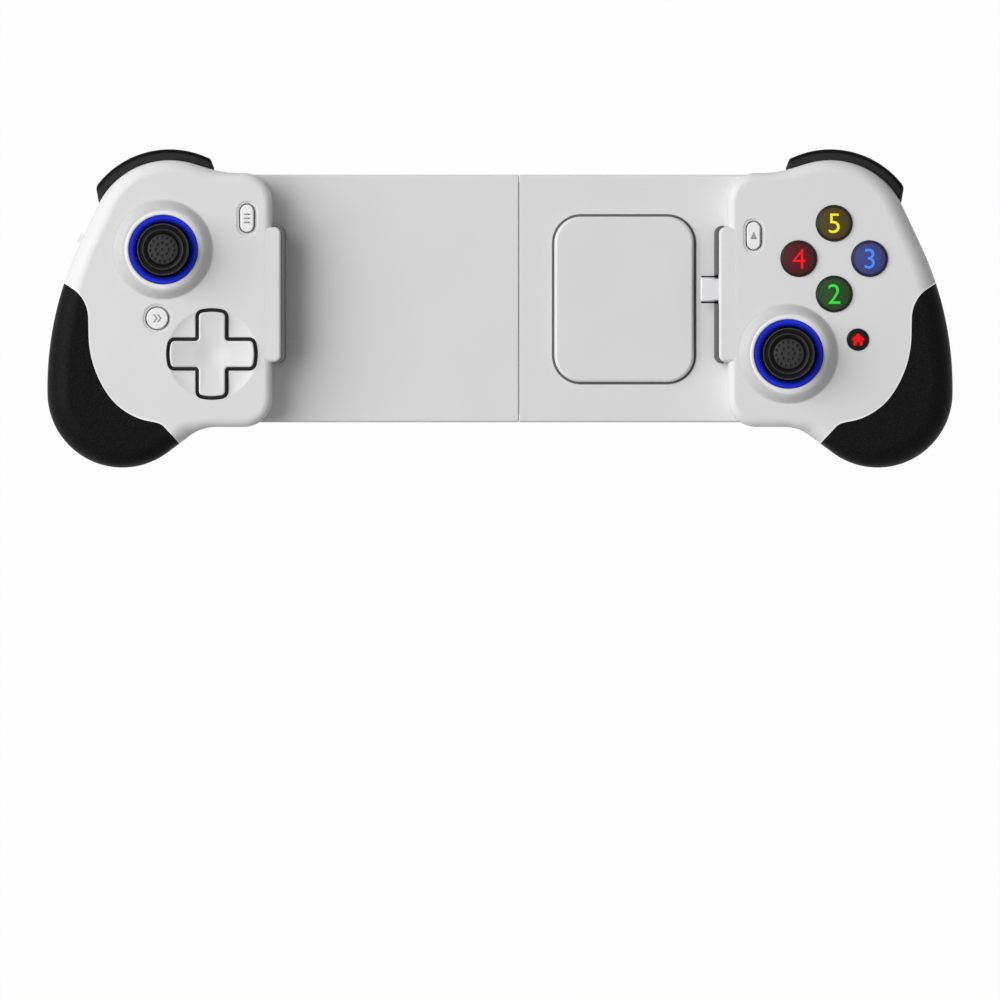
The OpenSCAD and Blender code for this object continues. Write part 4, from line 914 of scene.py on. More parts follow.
def back_height(point):
    """Height of the handle's back: level with the bridge end, then down to the table under the palm."""
    palm = MAIN_BACK_Z * (1 - smooth_step((point.x - INNER_X - PALM_START) / PALM_LENGTH))
    return palm + TOP_LIFT * smooth_step((point.y - TOP_START) / TOP_LENGTH)


def front_ring(stations, inset, degrees):
    """Ring on the rounded front edge, from the flank (0) to the face (90)."""
    angle = math.radians(degrees)
    ring = []
    for station in stations:
        width = max(by_corner(FRONT_WIDTH, station) - inset, LEAST_ROUND)
        height = max(by_corner(FRONT_HEIGHT, station) - inset, LEAST_ROUND)
        point = arc_point(station[2], station[1], inset + width * (1 - math.cos(angle)))
        ring.append((*point, FACE_Z - inset - height * (1 - math.sin(angle))))
    return ring


def back_edge(station, inset, angle):
    """Point of the rounded back, seen from the front."""
    width = max(by_corner(REAR_WIDTH, station) - inset, LEAST_ROUND)
    return arc_point(station[2], station[1], inset + width * (1 - math.cos(angle)))


def rear_ring(stations, inset, degrees):
    """Ring on the rounded back, from the parting line (0) to the back (90)."""
    angle = math.radians(degrees)
    ring = []
    for station in stations:
        depth = PART_Z - back_height(back_edge(station, inset, math.pi / 2)) - inset
        ring.append((*back_edge(station, inset, angle), PART_Z - depth * math.sin(angle)))
    return ring


def floor_ring(stations, inset, place):
    """Ring on the back itself, between its centre (0) and its edge (1)."""
    centre = handle_point(FORM_CENTRE)
    ring = []
    for station in stations:
        point = centre.lerp(back_edge(station, inset, math.pi / 2), place)
        ring.append((*point, back_height(point) + inset))
    return ring


def rear_rings(inset):
    """Rings from the middle of the back out to the parting line."""
    stations = handle_stations()
    rings = [floor_ring(stations, inset, place) for place in FLOOR_PLACES]
    rings += [rear_ring(stations, inset, degrees) for degrees in reversed(REAR_ANGLES)]
    return rings + [at_height(stations, inset, PART_Z)]


def front_rings(inset):
    """Rings from the parting line up to the face."""
    stations = handle_stations()
    return [front_ring(stations, inset, degrees) for degrees in FRONT_ANGLES]


def grip_prism(inset):
    """Upright block over the grip end."""
    corners = [(INNER_X + x, y) for x, y in GRIP_CORNERS]
    return layered(outline(corners, GRIP_RADII, GRIP_STEPS), [(inset, UNDER), (inset, OVER)])


def layered(stations, layers):
    """Solid through an outline's layers, each (inset, height)."""
    return skin([at_height(stations, inset, z) for inset, z in layers])


def moved_outline(stations, place):
    """An outline moved to a place."""
    moved = []
    for k, t, (centre, first, turn, radius, side) in stations:
        moved.append((k, t, (centre + place, first, turn, radius, side)))
    return moved


def pill_outline(place):
    """Outline of a long small button."""
    return moved_outline(rounded_box(PILL, PILL_R, steps=12), handle_point(place))


def round_outline(radius, place):
    """Circle as an outline with four corners."""
    size = (2 * radius, 2 * radius)
    return moved_outline(rounded_box(size, radius - NEARLY, steps=16), handle_point(place))


def flare(soft):
    """Rounded lip of an opening: steps of (out, depth under the face), past the face at the end."""
    end_out, end_rise = 1.6 * soft, soft / 3
    angles = [math.radians(d) for d in (0, 20, 40, 60, 78)]
    lip = [(soft * (1 - math.cos(a)), soft * (1 - math.sin(a)) - TINY) for a in angles]
    return lip + [(end_out, -end_rise)]


def hole(radius, place):
    """Round cutter through the face with a soft lip."""
    lip = [(radius + out, FACE_Z - depth) for out, depth in flare(HOLE_LIP)]
    widest = lip[-1][0]
    profile = [(0, CUT_FOOT), (radius, CUT_FOOT)] + lip + [(widest, CUT_TOP), (0, CUT_TOP)]
    return lathe(profile, handle_point(place))


def dished_hole(stations):
    """Cutter for a small button: a hole through a shallow bowl, in steps of (out, depth under the face)."""
    bowl = [(0, 0.5), (0.18, 0.47), (0.34, 0.39), (0.5, 0.27), (0.66, 0.14), (0.82, 0.03), (1.1, -0.12)]
    widest = SMALL_GAP + bowl[-1][0]
    layers = [(-SMALL_GAP - out, FACE_Z - depth) for out, depth in bowl]
    return layered(stations, [(-SMALL_GAP, CUT_FOOT)] + layers + [(-widest, CUT_TOP)])


def cross_outline():
    """Cross with gently curved arm ends, about the origin."""
    arm, end, apex = 3.9, 12.15, 12.95
    tip_r, end_r, root_r = 1.2, 14, 1.1
    corners = four_ways([(end, -arm), (apex, 0), (end, arm), (arm, arm)])
    return outline(corners, [tip_r, end_r, tip_r, root_r] * 4, steps=[6, 8, 6, 6] * 4)


def stick_boss(place):
    """Ring with the seat of the lit ring, a soft crest, and a flank that runs out into the face."""
    seat_r, crest_w, soft, out, sink, steps, lean = 8.6, 1.2, 0.4, 0.2, 0.05, 20, 1.3
    foot, crest = CEILING_Z + 0.4, FACE_Z + BOSS_RISE
    lip = [(BOSS_BORE_R + x, crest - depth) for x, depth in flare(soft)[:-1]]
    flank = []
    for i in range(steps + 1):
        t = i / steps
        radius = blend(BOSS_BORE_R + crest_w, BOSS_R + out, t)
        flank.append((radius, crest - (BOSS_RISE + sink) * smooth_step(t ** lean)))
    profile = [(seat_r, foot), (seat_r, RING_Z), (BOSS_BORE_R, RING_Z)] + lip + flank + [(BOSS_R + out, foot)]
    return lathe(profile, handle_point(place), closed=True)


def stick_bore(place):
    """Cutter for the opening that the boss goes into."""
    wall = 1.2
    return cylinder(BOSS_BORE_R + wall, CUT_FOOT, CUT_TOP, handle_point(place))


def bumper_slot():
    """Cutter for the room that a bumper moves in."""
    clear, steps = 0.3, 40
    place = handle_point(SHOULDER_CENTRE)
    return tube(SLOT_IN_R, SLOT_OUT_R, PART_Z - PAST, BUMPER_TOP + clear, place, SLOT_ANGLES, steps)


def jaw_plan():
    """Outline of a jaw from above."""
    length = JAW_DEPTH + JAW_ROOT
    middle = Vector((INNER_X + (JAW_ROOT - JAW_DEPTH) / 2, (JAW_LOW + JAW_HIGH) / 2))
    return moved_outline(rounded_box((length, JAW_HIGH - JAW_LOW), JAW_R), middle)


def jaw():
    """Block that the cushion sits on, a little under the face."""
    foot, top, soft = PART_Z + 0.6, FACE_Z - 0.03, 1.0
    return layered(jaw_plan(), [(0, foot)] + [(inset, top - drop) for inset, drop in roll(soft, steps=3)])


def plug_outline(grow):
    """Outline of the plug in Y and Z."""
    size = PLUG_SIZE + 2 * Vector((grow, grow))
    return rounded_box(size, size.y / 2 - NEARLY, steps=10)


def along_x(stations, layers, place=(0, 0)):
    """Solid whose outline lies in Y and Z, through layers of (inset, X)."""
    rings = []
    for inset, x in layers:
        points = [arc_point(arc, t, inset) for _, t, arc in stations]
        rings.append([(x, place[0] + p.x, place[1] + p.y) for p in points])
    return skin(rings)


def switch_frame():
    """Place and turn of the side switch on the left flank, drawn on the right."""
    flank_x, flank_y, lean, y, z = 67.5, -1.5, math.radians(25), 20.9, 24.5
    x = flank_x - math.tan(lean) * (y - flank_y)
    return Matrix.Translation((INNER_X + x, y, z)) @ Matrix.Rotation(lean, 4, "Z")


def face_places():
    """Centres of the face buttons: top, outer, bottom, inner."""
    return [FACE_AT + polar(FACE_SPREAD, math.radians(d)) for d in (90, 0, -90, 180)]


def crown_height(radius):
    """Height of a face button's crown at a distance from its centre."""
    return CROWN_TOP - CROWN_DEPTH * (radius / FACE_BUTTON_R) ** 2


class GAMEPAD_OT_front_shells(bpy.types.Operator):
    """Front shells with their bosses, jaws and button holes"""
    bl_idname = "gamepad.front_shells"
    bl_label = "Front Shells"

    def execute(self, context):
        for side in SIDES:
            stations = handle_stations()
            rings = list(reversed(front_rings(WALL)))
            rings += [at_height(stations, WALL, PART_Z), at_height(stations, 0, PART_Z)]
            piece = shape(skin(rings + front_rings(0)), f"{side}_front_shell_skin")
            combine(piece, jaw(), "UNION")
            if side == "left":
                combine(piece, self.cross_dish(), "DIFFERENCE")
            combine(piece, put_together(*self.cutters(side)), "DIFFERENCE")
            combine(piece, stick_boss(STICK_AT[side]), "UNION")
            combine(piece, bumper_slot(), "DIFFERENCE")
            soften(piece)
            combine(piece, grip_prism(-GRIP_HIGHLIGHT_LIP), "DIFFERENCE")
            finish(piece, front_white(side), body_of_side(side), [f"{side}_front_shell"], side)
        return {"FINISHED"}

    def cross_dish(self):
        """Cutter for the shallow bowl around the cross pad."""
        bowl_r, depth, lip, steepness, steps = 13.75, 0.95, 0.5, 6, 24
        profile = [(0, FACE_Z - depth)]
        for i in range(1, steps + 1):
            t = i / steps
            profile.append((bowl_r * t, FACE_Z + TINY - depth * (1 - t ** steepness)))
        profile += [(bowl_r + lip, FACE_Z + lip / 4), (bowl_r + lip, CUT_TOP), (0, CUT_TOP)]
        return lathe(profile, handle_point(CROSS_AT))

    def cutters(self, side):
        """Openings of one shell's controls."""
        bore = stick_bore(STICK_AT[side])
        if side == "right":
            buttons = [hole(FACE_BUTTON_R + FACE_GAP, place) for place in face_places()]
            small = [dished_hole(pill_outline(START_AT)), hole(ROUND_BUTTON_R + FACE_GAP, HOME_AT)]
            return buttons + small + [self.plug_cutter(), bore]
        small = [dished_hole(pill_outline(SELECT_AT)), dished_hole(round_outline(ROUND_BUTTON_R, TURBO_AT))]
        return small + [self.switch_cutter(), bore, self.cross_cutter()]

    def plug_cutter(self):
        """Cutter for the opening of the plug through the jaw."""
        clear = 0.1
        ends = (INNER_X - JAW_DEPTH - PAST, INNER_X + JAW_ROOT + PAST)
        return along_x(plug_outline(clear), [(0, x) for x in ends], (PLUG_Y, PLUG_Z))

    def switch_cutter(self):
        """Cutter for the slot that the side switch slides in."""
        low, high, half = -1.65, 3.65, 1.15
        return turned(block((-2 * WALL, low, -half), (WALL, high, half)), switch_frame())

    def cross_cutter(self):
        """Cutter for the opening of the cross pad."""
        stations = moved_outline(cross_outline(), handle_point(CROSS_AT))
        return layered(stations, [(-CROSS_GAP, CUT_FOOT), (-CROSS_GAP, CUT_TOP)])


class GAMEPAD_OT_rear_shells(bpy.types.Operator):
    """Rear shells with screw wells and the trigger window"""
    bl_idname = "gamepad.rear_shells"
    bl_label = "Rear Shells"

    def execute(self, context):
        low, high = TRIGGER_X
        for side in SIDES:
            piece = shape(skin(rear_rings(0) + rear_rings(WALL)[::-1]), f"{side}_rear_shell_skin")
            kept = block((INNER_X + REAR_START, -FAR, UNDER), (INNER_X + FAR, FAR, FACE_Z))
            combine(piece, kept, "INTERSECT")
            window = block((INNER_X + low - TRIGGER_GAP, TRIGGER_WINDOW_Y, UNDER),
                           (INNER_X + high + TRIGGER_GAP, FAR, PART_Z + PAST))
            combine(piece, window, "DIFFERENCE")
            wells = [cylinder(WELL_R, UNDER, PART_Z, handle_point(p)) for p in SHELL_POSTS]
            combine(piece, put_together(*wells), "DIFFERENCE")
            soften(piece)
            combine(piece, grip_prism(-GRIP_HIGHLIGHT_LIP), "DIFFERENCE")
            self.add_inner(piece)
            finish(piece, shell_white(), body_of_side(side), [f"{side}_rear_shell"], side)
        return {"FINISHED"}

    def add_inner(self, piece):
        """Adds the tubes of the screw wells, the end wall and the trigger's ears."""
        parts = []
        for place in SHELL_POSTS:
            at = handle_point(place)
            parts.append(tube(WELL_R, WELL_TUBE_R, back_height(at) + WALL / 2, WELL_TOP, at))
        start = INNER_X + REAR_START
        parts.append(along_x(self.end_wall(), [(0, start + HAIR), (0, start + WALL)]))
        thick, reach = 1.8, Vector((1.9, 1.9))
        for x in (TRIGGER_X[0] - TRIGGER_GAP - thick, TRIGGER_X[1] + TRIGGER_GAP):
            parts.append(block((INNER_X + x, *(TRIGGER_PIN - reach)),
                               (INNER_X + x + thick, *(TRIGGER_PIN + reach))))
        attach(piece, *parts)

    def end_wall(self):
        """Outline in Y and Z of the wall that closes the shell towards the bridge."""
        inset, wide, steps = 1.2, 5.0, 10
        low, high, foot = HANDLE_CORNERS[0][1] + inset, HANDLE_CORNERS[-1][1] - inset, MAIN_BACK_Z + inset
        corners = [(low, PART_Z), (low, foot), (high, foot), (high, PART_Z)]
        return outline(corners, [0, wide, wide, 0], [0, steps, steps, 0])


class GAMEPAD_OT_grips(bpy.types.Operator):
    """Black grip ends of both handles, and a lip of the shells along them in brighter white, a painted
    highlight
    """
    bl_idname = "gamepad.grips"
    bl_label = "Grips"

    def execute(self, context):
        for side in SIDES:
            piece = shape(self.form(0), f"{side}_grip_skin")
            combine(piece, grip_prism(0), "INTERSECT")
            combine(piece, self.form(GRIP_WALL), "DIFFERENCE")
            finish(piece, grip_black(), body_of_side(side), [f"{side}_grip"], side)
            # Painted highlight: the shell's edge along the grip is drawn as a strip in brighter white.
            lip = shape(self.form(0), f"{side}_grip_highlight_lip")
            combine(lip, grip_prism(-GRIP_HIGHLIGHT_LIP), "INTERSECT")
            combine(lip, grip_prism(-GRIP_SEAM), "DIFFERENCE")
            combine(lip, self.form(WALL), "DIFFERENCE")
            finish(lip, bright_white_and_highlight(), body_of_side(side), (), side)
        return {"FINISHED"}

    def form(self, inset):
        """The whole handle as one solid."""
        return skin(rear_rings(inset) + front_rings(inset))


class GAMEPAD_OT_bridge(bpy.types.Operator):
    """Bridge plates, the strip in their seam and the raised phone pad"""
    bl_idname = "gamepad.bridge"
    bl_label = "Bridge"

    def execute(self, context):
        gap = sizes().pad_groove / MM
        pad = moved_outline(rounded_box(PAD_SIZE, PAD_R, steps=16), PAD_AT)
        for side, start in (("right", SEAM_X + SEAM_GAP / 2), ("left", SEAM_GAP / 2 - SEAM_X)):
            plate = along_x(self.channel(), [(0, start), (0, BRIDGE_REACH)])
            piece = shape(plate, f"{side}_bridge_plate_skin")
            if side == "right":
                combine(piece, layered(pad, [(-gap, PART_Z - PAD_SINK), (-gap, CUT_TOP)]), "DIFFERENCE")
            soften(piece)
            finish(piece, plate_white(), body_of_side(side), [f"{side}_bridge_plate"], side)
        # Painted shade: a grey strip just under the seam stands in for the shade in it.
        finish(shape(self.strip(), "seam_strip"), tray_grey(), "left_half", (), "left")
        foot = PART_Z - PAD_SINK + HAIR
        edge = [(inset, PAD_TOP - drop) for inset, drop in roll(PAD_SOFT, steps=6)]
        piece = shape(layered(pad, [(0, foot)] + edge), "phone_pad_skin")
        finish(piece, plate_white(), "right_half", ["phone_pad"])
        # Painted shade: a dark rubber ring in the groove around the pad stands in for the shade there.
        piece = shape(layered(pad, [(HAIR - gap, foot), (HAIR - gap, foot + PAD_SHADE_RING)]), "phone_pad_shade_ring")
        finish(piece, cushion_rubber(), "right_half")
        return {"FINISHED"}

    def channel(self):
        """Outline of a plate in Y and Z: a shallow channel, open at the back."""
        soft, steps = 0.8, 6
        foot, under = BRIDGE_BACK_Z + BRIDGE_WALL, PART_Z - BRIDGE_WALL
        low, high = BRIDGE_LOW + BRIDGE_WALL, BRIDGE_HIGH - BRIDGE_WALL
        inner = [(low, foot), (low, under), (high, under), (high, foot)]
        corners = [(BRIDGE_LOW, foot)] + inner
        corners += [(BRIDGE_HIGH, foot), (BRIDGE_HIGH, PART_Z), (BRIDGE_LOW, PART_Z)]
        sharp = [0] * (len(corners) - 2)
        return outline(corners, sharp + [soft, soft], sharp + [steps, steps])

    def strip(self):
        """Grey strip in the seam, drawn on the right: a sheet that stands in for the shade seen down the
        seam.
        """
        width, low, high, inset = 0.22, PART_Z - 1.2, PART_Z - 0.15, 0.3
        seam = SEAM_GAP / 2 - SEAM_X
        return block((seam - width, BRIDGE_LOW + inset, low), (seam + PAST, BRIDGE_HIGH - inset, high))


class GAMEPAD_OT_jaw_cushions(bpy.types.Operator):
    """Rubber cushions on the jaws"""
    bl_idname = "gamepad.jaw_cushions"
    bl_label = "Jaw Cushions"

    def execute(self, context):
        lip, lap, soft, clear = 0.4, 1.6, 0.6, 0.2
        bottom, top = PART_Z + 0.7, FACE_Z - 0.6
        front, back = INNER_X - JAW_DEPTH - CUSHION_T, INNER_X + JAW_ROOT
        middle = Vector(((front + back) / 2, (JAW_LOW + JAW_HIGH) / 2))
        size = (back - front, JAW_HIGH - JAW_LOW + 2 * lip)
        plan = moved_outline(rounded_box(size, JAW_R + lip, steps=10), middle)
        layers = [(inset, bottom + drop) for inset, drop in reversed(roll(soft))]
        layers += [(inset, top - drop) for inset, drop in roll(soft)]
        half = PLUG_SIZE / 2 + Vector((clear, clear))
        for side in SIDES:
            piece = shape(layered(plan, layers), f"{side}_jaw_cushion_skin")
            behind = block((INNER_X - JAW_DEPTH + lap, -FAR, 0), (INNER_X + FAR, FAR, FAR))
            combine(piece, behind, "DIFFERENCE")
            combine(piece, layered(jaw_plan(), [(HAIR, 0), (HAIR, FAR)]), "DIFFERENCE")
            if side == "right":
                notch = block((front - PAST, PLUG_Y - half.x, PLUG_Z - half.y),
                              (INNER_X, PLUG_Y + half.x, FAR))
                combine(piece, notch, "DIFFERENCE")
            node = f"{side}_jaw_cushion"
            finish(piece, cushion_rubber(), body_of_side(side), [node], side)
        return {"FINISHED"}


class GAMEPAD_OT_sticks(bpy.types.Operator):
    """Stick domes, caps with pits and beads, and the lit rings"""
    bl_idname = "gamepad.sticks"
    bl_label = "Sticks"

    def execute(self, context):
        for side in SIDES:
            place = handle_point(STICK_AT[side])
            half, stick = body_of_side(side), f"{side}_stick"
            piece = shape(self.ring(place), f"{side}_light_ring_skin")
            finish(piece, ring_light(side), half, [f"{side}_light_ring"], side)
            # Painted highlight: a band of brighter white on the crest of the boss.
            piece = shape(self.crest_highlight(place), f"{side}_stick_crest_highlight")
            finish(piece, bright_white_and_highlight(), half, (), side)
            piece = shape(self.dome(place), f"{side}_stick_dome")
            finish(piece, stick_black(), stick, [f"{side}_stick_shaft"], side)
            piece = shape(self.cap(place), f"{side}_stick_cap_skin")
            combine(piece, self.pits(place), "DIFFERENCE")
            attach(piece, *self.beads(place))
            finish(piece, cap_rubber(side), stick, [f"{side}_stick_cap"], side, sharp=50)
        return {"FINISHED"}

    def ring(self, place):
        """Lit ring, lower towards the stick."""
        rim = FACE_Z + BOSS_RISE
        profile = [
            (RING_IN_R, RING_Z), (RING_OUT_R, RING_Z), (RING_OUT_R, rim - 0.45),
            (RING_OUT_R - 0.15, rim - 0.25), (RING_OUT_R - 0.5, rim - 0.2), (RING_IN_R + 0.4, rim - 0.6),
            (RING_IN_R + 0.1, rim - 0.72), (RING_IN_R, rim - 0.95),
        ]
        return lathe(profile, place, closed=True)

    def crest_highlight(self, place):
        """Rounded band on the crest of the boss, in brighter white: a painted highlight on the crest."""
        inner, outer, low, high, round_h = BOSS_BORE_R - 0.05, BOSS_BORE_R + 1.15, 0.7, 0.12, 0.25
        middle, half = (inner + outer) / 2, (outer - inner) / 2
        steps = 12
        profile = [(outer, -low), (inner, -low)]
        for i in range(steps + 1):
            angle = math.pi * (1 - i / steps)
            profile.append((middle + half * math.cos(angle), high - round_h * (1 - math.sin(angle))))
        return lathe([(r, FACE_Z + BOSS_RISE + z) for r, z in profile], place, closed=True)

    def dome(self, place):
        """Shaft with its dust dome."""
        rod_r, rod_low, rod_top, steps = 1.5, -2.6, CAP_RISE + 1.95, 10

        def arc(radius, from_r):
            """Arc of the dome, from a distance off the axis down to its rim."""
            first = math.acos(from_r / radius)
            last = math.asin(DOME_RIM / radius)
            return [polar(radius, blend(first, last, i / steps)) for i in range(steps + 1)]

        profile = [(0, rod_low), (rod_r, rod_low)] + arc(DOME_R - DOME_T, rod_r) + arc(DOME_R, NECK_R)[::-1]
        profile += [(NECK_R, rod_top), (0, rod_top)]
        return lathe([(r, PIVOT_Z + z) for r, z in profile], place)

    def cap(self, place):
        """Cap with two raised rims and a domed centre."""
        edge, base = sizes().stick_cap_radius / MM, PIVOT_Z + CAP_RISE
        top = base + CAP_HEIGHT
        socket_r, socket_top = NECK_R + 0.05, base + 2
        profile = [(socket_r, base), (edge - 1.2, base), (edge - 0.35, base + 0.25), (edge, base + 0.9)]
        profile += [(edge - inset, top - drop) for inset, drop in CAP_RIMS]
        profile += [(radius, top - drop) for radius, drop in CAP_DISC]
        profile += [(0, socket_top), (socket_r, socket_top), (socket_r, base)]
        return lathe(profile, place)

    def beads(self, place):
        """Beads in the groove between the rims."""
        ring_r, height = sizes().stick_cap_radius / MM - BEAD_IN, PIVOT_Z + CAP_RISE + CAP_HEIGHT - BEAD_DROP
        return [self.ball(BEAD_R, (*spot, height), columns=6, rows=4)
                for spot in around(place, ring_r, sizes().knurls)]

    def pits(self, place):
        """Cutters for the pits of the disc: one in the middle and two rings."""
        pit = sizes().pit_radius / MM
        top = PIVOT_Z + CAP_RISE + CAP_HEIGHT
        parts = []
        for radius, count, drop in PIT_RINGS:
            for spot in around(place, radius, count, math.pi / 2):
                parts.append(self.ball(pit, (*spot, top - drop), columns=12, rows=8))
        return put_together(*parts)

    def ball(self, radius, place, columns, rows):
        """Small ball."""
        bm = bmesh.new()
        bmesh.ops.create_uvsphere(bm, u_segments=columns, v_segments=rows, radius=radius)
        return turned(bm, Matrix.Translation(place))


class GAMEPAD_OT_face_buttons(bpy.types.Operator):
    """Smoked face buttons with lit numerals"""
    bl_idname = "gamepad.face_buttons"
    bl_label = "Face Buttons"

    def execute(self, context):
        shades = colours()
        plan = [
            ("face_button_top", "top_button", "button_yellow", shades.yellow, shades.yellow_tint, "5"),
            ("face_button_right", "outer_button", "button_blue", shades.blue, shades.blue_tint, "3"),
            ("face_button_bottom", "bottom_button", "button_green", shades.green, shades.green_tint, "2"),
            ("face_button_left", "inner_button", "button_red", shades.red, shades.red_tint, "4"),
        ]
        for place, (node, body, slot, colour, tint, numeral) in zip(face_places(), plan):
            centre = handle_point(place)
            piece = shape(lathe(self.profile(), centre), f"{node}_skin")
            finish(piece, smoked(f"{slot}_smoked", tint, centre), body, [node])
            mark = shape(self.numeral(numeral, centre), f"{node}_mark")
            finish(mark, lit_mark(f"{slot}_lit", colour), body)
        return {"FINISHED"}

    def profile(self):
        """Plunger, flange, body and crown."""
        plunger_r, plunger_z, flange_r, soft = 3, 27.5, FACE_BUTTON_R + 0.7, 0.45
        crown_r = FACE_BUTTON_R - soft
        shoulder = [(FACE_BUTTON_R - inset, crown_height(crown_r) - drop) for inset, drop in roll(soft)]
        dome_radii = [share * crown_r for share in (0.85, 0.7, 0.55, 0.4, 0.25, 0.1, 0)]
        dome = [(radius, crown_height(radius)) for radius in dome_radii]
        return [(0, plunger_z), (plunger_r, plunger_z), (plunger_r, FLANGE_Z), (flange_r, FLANGE_Z),
                (flange_r, FLANGE_TOP), (FACE_BUTTON_R, FLANGE_TOP)] + shoulder + dome

    def numeral(self, text, centre):
        """Numeral laid on the crown."""
        thinned = -0.03
        curve = bpy.data.curves.new("numeral", "FONT")
        curve.body = text
        curve.size = sizes().mark_height / MM
        curve.offset = thinned
        curve.align_x = "CENTER"
        curve.align_y = "CENTER"
        letter = bpy.data.objects.new("numeral", curve)
        bpy.context.scene.collection.objects.link(letter)
        graph = bpy.context.evaluated_depsgraph_get()
        mesh = bpy.data.meshes.new_from_object(letter.evaluated_get(graph))
        bpy.data.objects.remove(letter)
        bm = bmesh.new()
        bm.from_mesh(mesh)
        bpy.data.meshes.remove(mesh)
        bmesh.ops.remove_doubles(bm, verts=bm.verts, dist=TINY)
        bmesh.ops.triangulate(bm, faces=bm.faces)
        bmesh.ops.subdivide_edges(bm, edges=bm.edges, cuts=2, use_grid_fill=True)
        low = Vector((min(v.co.x for v in bm.verts), min(v.co.y for v in bm.verts)))
        high = Vector((max(v.co.x for v in bm.verts), max(v.co.y for v in bm.verts)))
        middle = (low + high) / 2
        for vert in bm.verts:
            flat = vert.co.xy - middle
            vert.co = (*(centre + flat), crown_height(flat.length) + MARK_LIFT)
        bmesh.ops.recalc_face_normals(bm, faces=bm.faces)
        bm.normal_update()
        if sum(face.normal.z for face in bm.faces) < 0:
            bmesh.ops.reverse_faces(bm, faces=bm.faces)
        return bm


class GAMEPAD_OT_small_buttons(bpy.types.Operator):
    """Small buttons with plain marks"""
    bl_idname = "gamepad.small_buttons"
    bl_label = "Small Buttons"

    def execute(self, context):
        white, grey = bright_white_and_highlight(), print_grey()
        red = lit_mark("home_lit", colours().red)
        home = round_outline(ROUND_BUTTON_R, HOME_AT)
        turbo = round_outline(ROUND_BUTTON_R, TURBO_AT)
        start, select = pill_outline(START_AT), pill_outline(SELECT_AT)
        plan = [
            ("start_button", "right", START_AT, start, white, self.triangle(), grey, "shell_white"),
            ("home_button", "right", HOME_AT, home, gloss_black(), self.house(), red, "gloss_black"),
            ("select_button", "left", SELECT_AT, select, white, self.bars(), grey, "shell_white"),
            ("turbo_button", "left", TURBO_AT, turbo, white, self.chevrons(), grey, "shell_white"),
        ]
        for node, side, place, stations, plastic, mark, ink, slot in plan:
            finish(shape(self.body(stations), f"{node}_skin"), plastic, node, [node], side)
            placed = turned(mark, Matrix.Translation((*handle_point(place), 0)))
            finish(shape(placed, f"{node}_mark"), ink, node, (), side)
        return {"FINISHED"}

    def body(self, stations):
        """Flange, body and softly rounded top."""
        flange, soft, soft_h = 1.0, 0.4, 0.42
        crown = [(soft * across, SMALL_TOP - soft_h * down) for across, down in roll(1)]
        return layered(stations, [(-flange, FLANGE_Z), (-flange, FLANGE_TOP), (0, FLANGE_TOP)] + crown)

    def mark(self, corners, radius, steps, places=((0, 0),)):
        """Thin mark just proud of a button's top, at one place or more."""
        sunk, proud = SMALL_TOP - 0.1, SMALL_TOP + 0.025
        count = len(corners)
        stations = outline(corners, [radius] * count, [steps] * count)
        moved = [moved_outline(stations, Vector(place)) for place in places]
        return put_together(*[layered(one, [(0, sunk), (0, proud)]) for one in moved])

    def triangle(self):
        """Triangle that points along the button."""
        return self.mark([(-1.0, -1.05), (1.0, -1.05), (0, 1.3)], radius=0.15, steps=4)

    def bars(self):
        """Three bars."""
        x, y, end_r, pitch = 1.0, 0.25, 0.24, 1.2
        corners = [(-x, -y), (x, -y), (x, y), (-x, y)]
        return self.mark(corners, end_r, steps=6, places=[(0, -pitch), (0, 0), (0, pitch)])

    def chevrons(self):
        """Two chevrons."""
        corners = [(0.3, -1.2), (0.85, -1.2), (-0.05, 0), (0.85, 1.2), (0.3, 1.2), (-0.6, 0)]
        return self.mark(corners, radius=0.06, steps=2, places=[(-0.7, 0), (0.45, 0)])

    def house(self):
        """Roof over a small house."""
        roof = self.mark([(-2.2, -0.2), (2.2, -0.2), (0, 1.9)], radius=0.2, steps=4)
        walls = [(-1.4, -1.7), (-0.45, -1.7), (-0.45, -0.7), (0.45, -0.7), (0.45, -1.7), (1.4, -1.7),
                 (1.4, 0.1), (-1.4, 0.1)]
        return put_together(roof, self.mark(walls, radius=0.1, steps=2))


